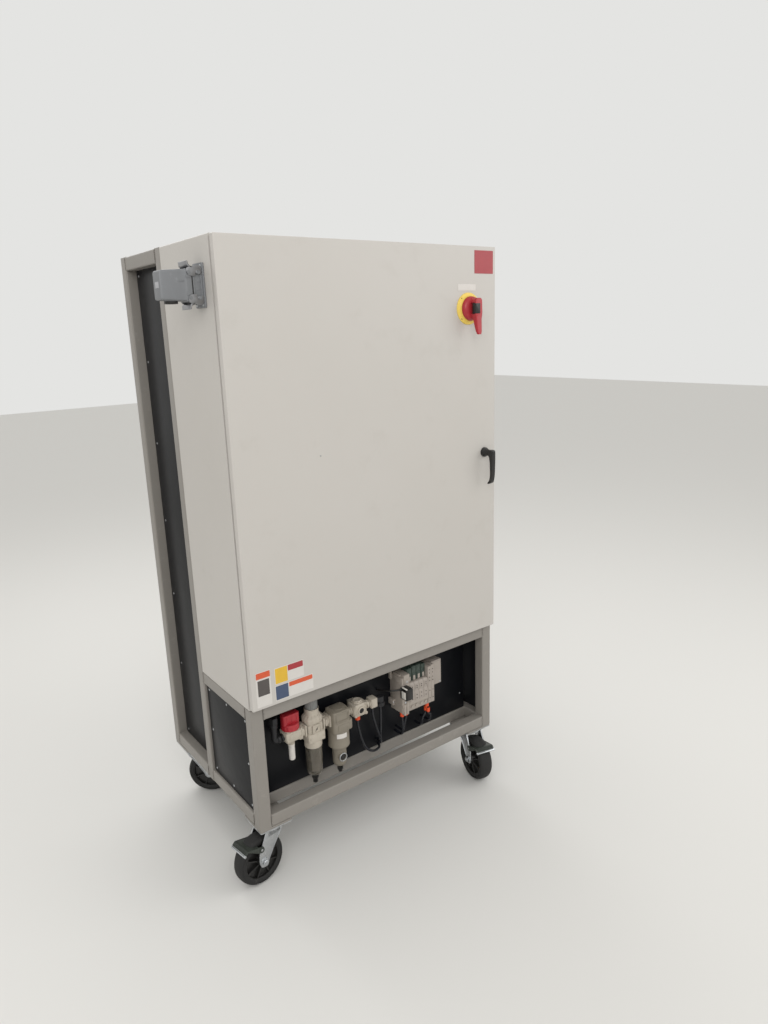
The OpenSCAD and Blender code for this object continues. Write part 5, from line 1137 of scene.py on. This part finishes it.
def buildManifoldBase(s):
    front, back = s["front"], s["back"]
    base = Shape("manifoldBase")
    x0, x1, low, high = s["end"]
    boxes(base, [((x0, front + 1, low), (x1, back, high), 1.6),
                 ((x0 - 0.8, front + 6, low + 38), (x0 + 1, back - 14, high - 6), 0.5),
                 ((x0 - 1.6, front + 14, high - 22), (x0 + 1, front + 38, high - 10), 0.6),
                 ((x0 - 9, back - 26, low - 9), (x0 + 1, back, low + 12), 1.2),
                 ((x0 - 5, back - 12, high - 20), (x0 + 1, back, high + 8), 1.2)])
    x0, x1, high = s["inlet"]
    left, right, low, top = s["rail"]
    boxes(base, [((x0 - 1, front + 1, top - 3), (x1, back - 10, high), 1.2),
                 ((x0 - 3, front - 2.4, low - 6), (x0 + 6, front + 12, top), 1.2),
                 ((x0 + 9, front - 1.6, low - 6), (x0 + 17, front + 12, top + 6), 1.2)])
    x0, x1, foot, high = s["screw"]
    boxes(base, [((x0, front - 1, foot), (x1, back - 11, high), 1.4),
                 ((x0 + 3, front - 2, foot + 3), (x1 - 3, front, high - 18), 0.5),
                 ((x0 - 5, front + 16, high - 12), (x0 + 2, back - 14, high - 2), 1.0)])
    rail = [(front + 3, low), (back, low), (back, top), (front, top), (front, low + 22), (front + 3, low + 18)]
    base.prism(soften(rail, 1.6, 3), "x", left, right, 0.8)
    port = [(0, front - 0.4), (4.6, front - 0.4), (5, front), (5, front + 4), (0, front + 4)]
    for k in range(s["count"] + 1):
        base.lathe(port, "y", 24, (s["valve0"] + k * s["pitch"] + 9, 0, low + 13))
    base.done("manifold_alloy", "manifold_base")


def buildValves(s):
    front, back, wide = s["front"], s["back"], s["width"]
    valves, coils, spots = Shape("valveSlices"), Shape("valveCoils"), []
    outline = soften([(front, -197), (back - 10, -197), (back - 10, -131), (front + 5, -130, 2), (front, -137, 3),
                      (front, -158), (front + 1.5, -160), (front + 1.5, -165), (front, -167)], 0.8, 2)
    for k in range(s["count"]):
        x = s["valve0"] + k * s["pitch"]
        end = x + wide
        valves.prism(outline, "x", x, end, 0.7)
        boxes(valves, [((x + 3.2, front - 1.6, -154), (end - 3.2, front + 1, -139), 0.6),
                       ((x + 2.4, front - 0.8, -194), (end - 2.4, front + 1, -169), 0.5),
                       ((x + 5, front + 11, -128), (end - 5, front + 16, -112), 0.6)])
        # The outer two coils stand lower, and every other one sits a little to the right
        top, shift = s["coilHigh"] - (4 if k in (0, 3) else 0), 0.4 * (k % 2)
        x, end = x + shift, end + shift
        boxes(coils, [((x + 0.4, front + 14, -131), (end - 0.4, back - 10, top), 1.6),
                      ((x + 3, front + 12.4, -126), (end - 3, front + 15, -104), 0.7),
                      ((x + 5, front + 12.8, top - 14), (end - 5, front + 15, top - 4), 0.5)])
        x = s["valve0"] + (k + 0.5) * s["pitch"] - 0.3
        rows = ((1.6, -143.5), (1.6, -150), (0.8, -174 - (k % 2) * 2), (0.8, -188))
        spots += [(x, front - out, z) for out, z in rows]
    x0, x1, high = s["tall"]
    half = (x1 - x0) / 2
    for k in range(2):
        a, b = x0 + k * half + 0.3, x0 + (k + 1) * half - 0.1
        boxes(valves, [((a, front, -226), (b, back - 10, high + k * 3), 1.1),
                       ((a + 2.2, front - 1, -150), (b - 2.2, front + 1, -128), 0.5),
                       ((a + 2.2, front - 1, -216), (b - 2.2, front + 1, -172), 0.5)])
        rows = ((0, -106), (0, -118), (1, -133), (1, -145), (1, -180), (1, -208))
        spots += [(x0 + (k + 0.5) * half, front - out, z) for out, z in rows]
    x0, x1, low, high = s["cover"]
    boxes(valves, [((x0 - 1, front + 13, low), (x1, back - 10, high), 1.4),
                   ((x0 + 5, front + 11.8, high - 30), (x1 - 4, front + 14, high - 4), 0.7)])
    valves.done("unit_white", "valves", "valveFront")
    coils.done("brake_paint", None, "coilGreen")
    dot = Shape("dot").lathe([(0, 0.4), (1.7, 0.4), (1.7, -0.7), (1.2, -1.1), (0, -1.1)], "y", 14)
    repeat("valveButtons", dot, spots, "black_plastic", {"Size Spread": 0.08, "Seed": 5})
    screw = Shape("screw").head((0, 0, 0), "y", -1, 3.4, "pan")
    places = [(565, front - 1, -117), (558, front - 0.4, -189), (541, back - 26, -199), (688, front + 13, -170),
              (718, front + 13, -170)]
    repeat("manifoldScrews", screw, places, "zinc", {"Seed": 3})


def buildPlug(s):
    (x0, y0, low, wide, deep, tall), back, y = s["plug"], s["back"], s["leadY"]
    x1, y1, top = x0 + wide, y0 + deep, low + tall
    high = top - 4.5
    plug, face = Shape("manifoldPlug"), Shape("plugFaces")
    plug.box((x0, y0, low), (x1, y1 + 1, top), 2.2, 3)
    plug.box((x0 + 3, y0 - 1.2, low + 5), (x1 - 3, y0 + 2, top - 5), 1)
    lead = [(x0 + 2, y, high), (x0 - 8, y, high), (x0 - 34, 62, high - 3), (x0 - 44, back - 10, high - 12),
            (x0 - 44, back + 0.3, high - 14)]
    plug.tube(bendPath(lead, 16, 9), 3.0, 16)
    plug.lathe([(0, x0 - 6), (3.9, x0 - 6), (4, x0 + 1), (0, x0 + 1)], "x", 20, (0, y, high))
    plug.done("black_plastic", "manifold_plug")
    face.slab((y0 + 4, low + 4, y1 - 8, top - 9), 1.5, 3, "x", x0 - 0.7, x0 + 1, 0.3)
    face.box((x0 + 2, y0 + 2.5, top - 0.5), (x0 + 8.5, y1 - 4, top + 0.7), 0.3)
    face.done("plug_white")


def buildFittings(s, air):
    y, seat = s["fitY"], s["rail"][2] - 0.02
    fitting = Shape("fitting")
    fitting.lathe([(0, 0), (7, 0), (7.6, -1), (7.6, -6.4), (7, -7.2), (0, -7.2)], "z", 6)
    fitting.lathe([(4.1, -7), (6.4, -7), (6.6, -8), (6.6, -10.6), (5.6, -11.4), (6.9, -12.2), (7, -13), (7, -15),
                   (6, -16), (4.1, -16)], "z", 28)
    points = [(x, y, seat, (0, 0, 0.3 * k)) for k, x in enumerate(s["fits"])]
    settings = {"Turn Spread": 0.4, "Seed": 21}
    repeat("airFittings", fitting, points, "fitting_orange", settings, "air_fittings")
    double = Shape("doubleFitting", (s["double"], y, seat))
    hexBand(double, "z", -6, 0, 8)
    double.lathe([(0, -5), (6.6, -5), (7, -6), (7, -20.6), (6.2, -22), (0, -22)], "z", 28)
    sleeve = [(4.1, -19), (5.6, -19), (6, -20), (6, -26), (5.2, -27), (6, -28), (6, -33), (5.4, -34), (4.1, -34)]
    for side in sides:
        double.lathe(sleeve, "z", 28, (0, side * s["step"] / 2, 0))
    double.done("fitting_orange")
    large = airShape("teeFitting", air["tee"], air, -19)
    hexBand(large, "z", -7, -0.02, 9)
    large.lathe([(4.1, -6.8), (7.6, -6.8), (8, -8), (8, -14), (6.8, -15), (8, -16), (8.2, -17), (8.2, -20.4),
                 (7.2, -22), (4.1, -22)], "z", 36)
    large.done("fitting_orange")


# Every tube ends just inside the panel behind the unit
def buildTubes(s, m):
    tubes, low, y, tee, port, wall = Shape("airTubes"), s["tubeLow"], s["y"], s["tee"], s["port"], s["panel"] + 0.4
    top, step, end = m["rail"][2], m["step"] / 2, s["end"][1]
    # From the manifold: place, the height where the tube starts and where it leaves the fitting, sideways sway
    drops = [(x, 0, -8, -26, sway) for x, sway in zip(m["fits"], (5, -6))]
    drops += [(m["double"], side * step, -16, -42, -13 * side) for side in (1, -1)]
    paths = []
    for k, (x, shift, start, leave, sway) in enumerate(drops):
        foot, y0 = low + (k % 2) * 14 + 4, m["fitY"] + shift
        paths.append(([(x, y0, top + start), (x, y0, top + leave), (x + sway, y0 + 3, foot + 30),
                       (x + sway, y0 + 8, foot), (x + sway, wall, foot)], s["bend"], 7))
    # From the tee, the end block and its elbow
    paths += [([(tee, y, port - 33), (tee, y, -214), (tee + 11, y, -268), (tee + 27, y, -310), (tee + 56, y, -333),
                (tee + 92, y + 14, -338), (tee + 104, wall, -338)], 26, 8),
              ([(end - 12, y, port - 16), (end - 10, y, -206), (end + 6, y + 2, -262), (end + 22, y + 6, -306),
                (end + 26, wall, -318)], 24, 8),
              ([(end + 20, y, port - 20), (end + 21, y, -214), (end + 22, y + 8, -306), (end + 30, y + 14, -322),
                (end + 34, wall, -326)], 24, 8)]
    for path, bend, steps in paths:
        tubes.tube(bendPath(path, bend, steps), s["tube"], 18)
    tubes.done("air_tube", "air_tubes")
    elbow, x = airShape("hoseElbow", 0, s), end + 20
    hexBand(elbow, "x", end + 0.05, end + 7, 12)
    elbow.tube(bendPath([(end + 5, 0, 0), (x, 0, 0), (x, 0, -14)], 12, 8), 10, 24)
    elbow.lathe([(0, -11), (13, -11), (14, -12), (14, -22), (13, -23.4), (11, -24), (0, -24)], "z", 28, (x, 0, 0))
    elbow.lathe([(0, 9), (11.4, 9), (12, 8), (12, -9), (11, -10), (0, -10)], "z", 28, (x, 0, 0))
    elbow.done("fitting_dark")


for buildUnit in (buildManifoldBase, buildValves, buildPlug):
    buildUnit(manifoldSet)
buildFittings(manifoldSet, airSet)
buildTubes(airSet, manifoldSet)
print("manifold built")

# Panels: dark sheet between the tubes, each with a row of screws, and louvres in the back panel
panelSet = {"thick": 3.0, "inset": 30.0, "low": -345.7, "bayTop": -43.7, "tallTop": 1182.6, "bay": (55.8, 331.8),
            "rear": (371.9, 613.3), "across": (39.1, 875.3), "backY": 622.4, "unitY": 112.7, "unitTop": -5.9,
            "fold": 18, "screwIn": (18, 16), "screw": 3.6, "unitScrews": (57, 330, 600, 857),
            "louvre": {"left": 300, "pitch": 40, "count": 9, "wide": 26, "tall": 60, "low": 120, "high": -150,
                       "slits": 5, "slitPitch": 10.4}}


# A flat sheet square to an axis; gives back the spots of its screws: columns and rows along the four edges
def panelSheet(shape, axis, level, out, low, high, rows, s):
    (u0, v0), (u1, v1), (inU, inV), thick = low, high, s["screwIn"], s["thick"]
    shape.slab((u0, v0, u1, v1), 4, 4, axis, level, level + thick, 0.7)
    across, along = [[start + gap + (end - start - 2 * gap) * k / (count - 1) for k in range(count)]
                     for start, end, gap, count in ((u0, u1, inU, rows[0]), (v0, v1, inV, rows[1]))]
    spots = [(u, v) for u in across for v in (v0 + inV, v1 - inV)]
    spots += [(u, v) for v in along[1:-1] for u in (u0 + inU, u1 - inU)]
    return [(onAxis(axis, u, v, level + (thick if out > 0 else 0)), axis, out) for u, v in spots]


def buildPanels(s, width, side):
    bay, rear, unit, screws = Shape("bayPanels"), Shape("rearPanels"), Shape("unitPanel"), Shape("panelScrews")
    thick, inset, low, high, face = s["thick"], s["inset"], s["low"], s["tallTop"], s["backY"] + s["thick"]
    places = []
    for x, out in ((side - inset, -1), (width - side + inset - thick, 1)):
        places += panelSheet(bay, "x", x, out, (s["bay"][0], low), (s["bay"][1], s["bayTop"]), (3, 3), s)
    for x, out in ((inset, -1), (width - inset - thick, 1)):
        places += panelSheet(rear, "x", x, out, (s["rear"][0], low), (s["rear"][1], high), (2, 7), s)
    left, right = s["across"]
    places += panelSheet(rear, "y", s["backY"], 1, (left, low), (right, high), (4, 7), s)
    louvre = s["louvre"]
    for k in range(louvre["count"]):
        x, wide = louvre["left"] + k * louvre["pitch"], louvre["wide"]
        for z in (low + louvre["low"], high + louvre["high"]):
            rear.slab((x, z, x + wide, z + louvre["tall"]), 5, 4, "y", face - 0.1, face + 1.2, 0.5)
            for foot in (z + slit * louvre["slitPitch"] for slit in range(louvre["slits"])):
                near, far = [roundRect(x + 3, foot + a, x + wide - 3, foot + b, r, 3)
                             for a, b, r in ((6, 12, 2.4), (5, 8, 1.4))]
                rear.prism(near, "y", face, face + 3.6, 1.0, far)
    y, top = s["unitY"], s["unitTop"]
    tip = y + s["fold"]
    fold = [(y, low), (tip, low, 0.6), (tip, low + thick, 0.6), (y + thick, low + thick), (y + thick, top - thick),
            (tip, top - thick, 0.6), (tip, top, 0.6), (y, top)]
    unit.prism(soften(fold, 2.4, 4), "x", left, right, 0.4)
    # The third column has no lower screw
    places += [(Vector((x, y, z)), "y", -1) for x in s["unitScrews"] for z in (low + 60, top - 90)
               if x != s["unitScrews"][2] or z > -200]
    for spot, axis, out in places:
        screws.head(spot, axis, out, s["screw"], "pan")
    for shape, node in ((bay, "bay_side_panels"), (rear, "rear_panels"), (unit, "unit_panel")):
        shape.done("panel_black", node)
    screws.done("zinc")


buildPanels(panelSet, standSet["width"], standSet["side"])
print("panels built")

# Inside the enclosure: slotted ducts, rails and the devices on the mounting plate. A device's tuple gives its
# left side, pitch, width, depth and height, then its count; drives also their low end.
insideSet = {"plate": 305.9, "rail": 298.4, "duct": (52, 812.4), "ductLow": 44.4, "ductTop": 1170.7, "ductWide": 50,
             "ductFloor": 14.0, "levels": (44.4, 353.28, 704.76, 1109.5), "rails": (223.84, 554.02), "slot": 12.5,
             "drive": (122, 78, 72, 176, 254.74, 4, 804.76), "module": (122, 31, 30, 66, 110, 6),
             "control": (322, 0, 85, 112, 124, 1), "breaker": (427, 18, 17.6, 74, 84, 8),
             "contactor": (591, 48, 45, 84, 80, 4), "terminal": (142, 14, 12.5, 48, 56, 45),
             "switch": {"x": 800.4, "z": 1041.5, "poles": (744, 768, 792)}}

# Side profiles of the devices, as shares of depth and height
profiles = {
    "drive": [(0.017, 0), (0.017, 1), (0.932, 1), (1, 0.952), (1, 0.331), (0.852, 0.29), (0.852, 0.069), (0.807, 0)],
    "module": [(0, 0), (0, 1), (0.88, 1), (1, 0.945), (1, 0.564), (0.909, 0.527), (0.909, 0.073), (0.818, 0)],
    "control": [(0, 0), (0, 1), (1, 1), (1, 0.097), (0.929, 0)],
    "breaker": [(0, 0), (0, 1), (0.54, 1), (0.595, 0.952), (0.595, 0.786), (0.811, 0.762), (0.84, 0.70),
                (0.84, 0.30), (0.811, 0.262), (0.595, 0.238), (0.595, 0.048), (0.54, 0)],
    "contactor": [(0, 0), (0, 1), (0.595, 1), (0.667, 0.925), (0.667, 0.775), (0.976, 0.75), (1, 0.7), (1, 0.3),
                  (0.976, 0.25), (0.667, 0.225), (0.667, 0.075), (0.595, 0)],
    "terminal": [(0, 0), (0, 1), (0.708, 1), (0.833, 0.857), (0.833, 0.714), (1, 0.679), (1, 0.321), (0.833, 0.286),
                 (0.833, 0.143), (0.708, 0)]}


def deviceOutline(kind, s, y, z, radius=1.2):
    deep, tall = s[kind][3:5]
    return [(u + y, v + z) for u, v in soften([(-a * deep, b * tall) for a, b in profiles[kind]], radius, 2)]


# A row of one kind of device on a shape; gives back their left sides
def deviceRow(shape, kind, s, y, z, radius, bevel):
    (x0, pitch, wide), count = s[kind][:3], s[kind][5]
    lefts = [x0 + k * pitch for k in range(count)]
    for x in lefts:
        shape.prism(deviceOutline(kind, s, y, z, radius), "x", x, x + wide, bevel)
    return lefts


def buildDucts(s):
    channel, covers, spots = Shape("ductChannels"), Shape("ductCovers"), {"z": [], "x": []}
    floor, y, wide = s["ductFloor"], s["plate"], s["ductWide"]
    wall = [(0, 0), (0, -floor), (1.5, -floor), (1.5, -1.5), (wide - 1.5, -1.5), (wide - 1.5, -floor), (wide, -floor),
            (wide, 0)]
    lid = [(-0.8, -54), (-0.8, -62), (wide + 0.8, -62), (wide + 0.8, -54), (wide - 0.1, -54), (wide - 0.1, -60.6),
           (0.1, -60.6), (0.1, -54)]
    left, right = s["duct"]
    runs = [("z", x, s["ductLow"], s["ductTop"]) for x in s["duct"]]
    runs += [("x", z, left + wide + 2, right - 2) for z in s["levels"]]
    for axis, start, low, high in runs:
        for shape, outline in ((channel, wall), (covers, soften(lid, 0.8, 2))):
            placed = [(start + u, v + y) for u, v in outline]
            shape.prism(placed if axis == "z" else [(v, u) for u, v in placed], axis, low, high)
        count = int((high - low - 6) / s["slot"])
        for at in (low + 10 + (high - low - 20) * k / (count - 1) for k in range(count)):
            for u in (start + 0.75, start + wide - 0.75):
                spots[axis].append((u, y - 36, at) if axis == "z" else (at, y - 36, u))
    channel.done("duct_grey", "wire_ducts")
    covers.done("duct_grey")
    for name, axis, (x, z) in (("ductFingersUpright", "z", (0.75, 4)), ("ductFingersLevel", "x", (4, 0.75))):
        finger = Shape("finger").box((-x, -23.5, -z), (x, 23, z), 0.3, 1)
        repeat(name, finger, spots[axis], "duct_grey")


def buildDrives(s):
    wide, deep, tall, z0, y = *s["drive"][2:5], s["drive"][6], s["plate"]
    body, fins, dark, plates, screws = [Shape("drive" + name) for name in
                                        ("Bodies", "Fins", "Vents", "Keypads", "Screws")]
    # Painted shade: black marks on the drives' tops stand for the dark inside of their vent slots
    vent, vents, face = Shape("ventSlot").box((-1.4, -10, -0.6), (1.4, 10, 0.5), 0.3, 1), [], y - deep
    for x in deviceRow(body, "drive", s, y, z0, 4, 1.6):
        end = x + wide
        body.slab((y - 3, z0 - 0.05 * tall, y, z0 + 1.05 * tall), 1, 2, "x", x, end, 0.5)
        for fx in (x + 5 + n * (wide - 11.4) / 12 for n in range(13)):
            for low, high in ((tall - 1, tall + 5), (-5, 1)):
                fins.box((fx, y - 62, z0 + low), (fx + 1.3, y - 4, z0 + high), 0.3, 1)
        for shape, gap, low, high, out, back, radius, bevel, steps in (
                (plates, 12, 0.62, 0.86, 1.6, 0.5, 4, 0.5, 4), (dark, 16, 0.74, 0.83, 2.2, 0, 2, 0.3, 3)):
            outline = roundRect(x + gap, z0 + tall * low, end - gap, z0 + tall * high, radius, steps)
            shape.prism(outline, "y", face - out, face + back, bevel)
        for n in range(6):
            key = (x + 20 + (n % 3) * 16, face - 1.6, z0 + tall * (0.70 - 0.045 * (n // 3)))
            dark.lathe([(0, 0.4), (3.4, 0.4), (3.4, -0.8), (2.8, -1.2), (0, -1.2)], "y", 14, key)
        vents += [(x + 9 + n * (wide - 18) / 8, y - 0.5 * deep, z0 + tall) for n in range(9)]
        for tx in (x + 8 + n * (wide - 16) / 5 for n in range(6)):
            dark.box((tx - 4.2, y - 0.86 * deep - 0.8, z0 + 0.10 * tall), (tx + 4.2, y - 0.84 * deep, z0 + 0.16 * tall),
                     0.4, 1)
            screws.head((tx, y - 0.852 * deep, z0 + 0.21 * tall), "y", -1, 3.1, "pan")
        for u in (x + 9, end - 9):
            for v in (-0.025, 1.025):
                screws.head((u, y - 3, z0 + v * tall), "y", -1, 3.6, "pan")
    body.done("device_grey", "drives")
    for shape, slotName in ((fins, "galvanised"), (dark, "black_plastic"), (plates, "duct_grey"), (screws, "zinc")):
        shape.done(slotName)
    repeat("driveVentSlots", vent, vents, "black_plastic")


# Modules, controller, breakers and contactors on the upper rail, terminals on the lower one
def buildRailDevices(s):
    y, (lowRail, rail) = s["rail"], s["rails"]
    screws, dark, modules, toggles = [], Shape("deviceInsets"), Shape("controlModules"), Shape("breakerToggles")
    breakers, contactors = Shape("breakers"), Shape("contactors")
    wide, deep, tall = s["module"][2:5]
    z, face = rail - tall / 2, y - deep
    for x in deviceRow(modules, "module", s, y, z, 1.2, 0.8):
        modules.box((x + 3, face - 1.2, z + 0.60 * tall), (x + wide - 3, face + 1, z + 0.9 * tall), 0.6)
        for n in range(8):
            column, row = n % 2, n // 2
            u, v = x + 5 + column * 11, z + (0.64 + 0.06 * row) * tall
            dark.box((u, face - 1.8, v), (u + 9, face - 0.8, v + 0.03 * tall), 0.3, 1)
            screws.append((x + 7.5 + column * 15, y - 0.909 * deep, z + (0.13 + 0.1 * row) * tall))
    wide, deep, tall = s["control"][2:5]
    z, face = rail - tall / 2, y - deep
    for x in deviceRow(modules, "control", s, y, z, 3, 1.6):
        modules.box((x + 6, face - 1.4, z + 72), (x + wide - 6, face + 1, z + tall - 8), 0.8)
        for n in range(2):
            dark.box((x + 12 + n * 32, face - 0.7, z + 20), (x + 29 + n * 32, face + 1, z + 36), 0.6)
        for n in range(7):
            dark.box((x + 12, face - 1.9, z + 78 + n * 5), (x + wide - 12, face - 1, z + 80.4 + n * 5), 0.3, 1)

    wide, deep, tall = s["breaker"][2:5]
    z = rail - tall / 2
    toggle = [(y - a * deep + shift, z + b * tall) for a, b, shift in
              ((0.80, 0.44, 0), (0.80, 0.60, 0), (0.92, 0.62, 0), (1, 0.54, 0), (1, 0.49, 1), (0.9, 0.50, 0))]
    for x in deviceRow(breakers, "breaker", s, y, z, 1.2, 0.6):
        toggles.prism(soften(toggle, 1.0, 2), "x", x + 4.6, x + wide - 4.6, 0.5)
        for v in (0.12, 0.88):
            screws.append((x + wide / 2, y - 0.57 * deep, z + v * tall))
            dark.box((x + 4.6, y - 0.60 * deep - 0.3, z + (v - 0.045) * tall),
                     (x + wide - 4.6, y - 0.56 * deep, z + (v + 0.045) * tall), 0.4, 1)

    wide, deep, tall = s["contactor"][2:5]
    z, face = rail - tall / 2, y - deep
    for x in deviceRow(contactors, "contactor", s, y, z, 1.2, 1.0):
        contactors.box((x + 12, face - 1.6, z + 0.38 * tall), (x + wide - 12, face + 1, z + 0.62 * tall), 0.7)
        for low in (0.09, 0.82):
            contactors.box((x + 4, y - 0.667 * deep - 1, z + low * tall),
                           (x + wide - 4, y - 0.66 * deep, z + (low + 0.09) * tall), 0.5)
        screws += [(x + 9 + n * 13.5, y - 0.65 * deep, z + v * tall) for n in range(3) for v in (0.15, 0.85)]

    x0, pitch, wide, deep, tall, count = s["terminal"]
    lefts = [(x0 + k * pitch, y, lowRail) for k in range(count)]
    unit = Shape("terminal").prism(deviceOutline("terminal", s, 0, -tall / 2, 1.6), "x", 0, wide, 0.6)
    tag = Shape("tag").box((1.6, -deep - 0.8, -6), (wide - 1.6, -deep + 1, 6), 0.5, 1)
    screws += [(x + wide / 2, y - 0.833 * deep, z + v * tall) for x, y, z in lefts for v in (-0.285, 0.285)]
    modules.done("device_white", "control_modules")
    breakers.done("device_white", "breakers")
    toggles.done("black_plastic")
    contactors.done("device_grey", "contactors")
    repeat("terminalStrip", unit, lefts, "duct_grey", {"Seed": 4}, "terminal_strip")
    repeat("terminalTags", tag, lefts, "plug_white", {"Seed": 4})
    dark.done("black_plastic")
    head = Shape("screw").head((0, 0, 0), "y", -1, 2.6, "pan")
    repeat("deviceScrews", head, screws, "lever_zinc", {"Seed": 9})


def buildMainSwitch(s):
    y, x, z = s["plate"], s["switch"]["x"], s["switch"]["z"]
    body, screws = Shape("mainSwitch", (x, y, z)), Shape("mainSwitchScrews", (0, y, z))
    body.slab((-68, -46, 8.2, 46), 3, 4, "y", -62, 0, 1.2)
    body.slab((-64, -34, 6.2, 34), 4, 4, "y", -78, -61, 1.6)
    body.slab((-54, -30, 14, 30), 6, 5, "y", -90, -77, 1.8)
    body.lathe([(0, -97), (9.4, -97), (10, -96), (10, -89), (0, -89)], "y", 32)
    body.lathe([(0, 14.3 - y), (3.9, 14.3 - y), (4, 14.8 - y), (4, -96), (0, -96)], "y", 24)
    for pole in s["switch"]["poles"]:
        for height in (-40, 40):
            body.box((pole - x - 8, -66, height - 5), (pole - x + 8, -61, height + 5), 0.6)
            screws.head((pole, -66, height), "y", -1, 3.4, "pan")
    body.done("black_plastic", "main_switch")
    screws.done("zinc")


for buildUnit in (buildDucts, buildDrives, buildRailDevices, buildMainSwitch):
    buildUnit(insideSet)
print("inside built")

# Folded sheet and small fittings kept from the frame: edges broken by a small round, in millimetres
edgeSet = {"enclosure_body": 1.4, "mounting_plate": 0.6, "door_stiffeners": 0.8, "hinge_leaves": 0.8,
           "hinge_seats": 0.6, "latch_cam": 0.8, "latch_flanges": 0.5, "roof_plugs": 1.2, "door_gasket": 1.2,
           "din_rails": 0.3}
for nodeName, width in edgeSet.items():
    edge = frame["nodes"][nodeName].modifiers.new("edge", "BEVEL")
    edge.width, edge.segments, edge.limit_method, edge.angle_limit = width / 1000, 2, "ANGLE", math.radians(40)
print("edges rounded:", len(edgeSet))
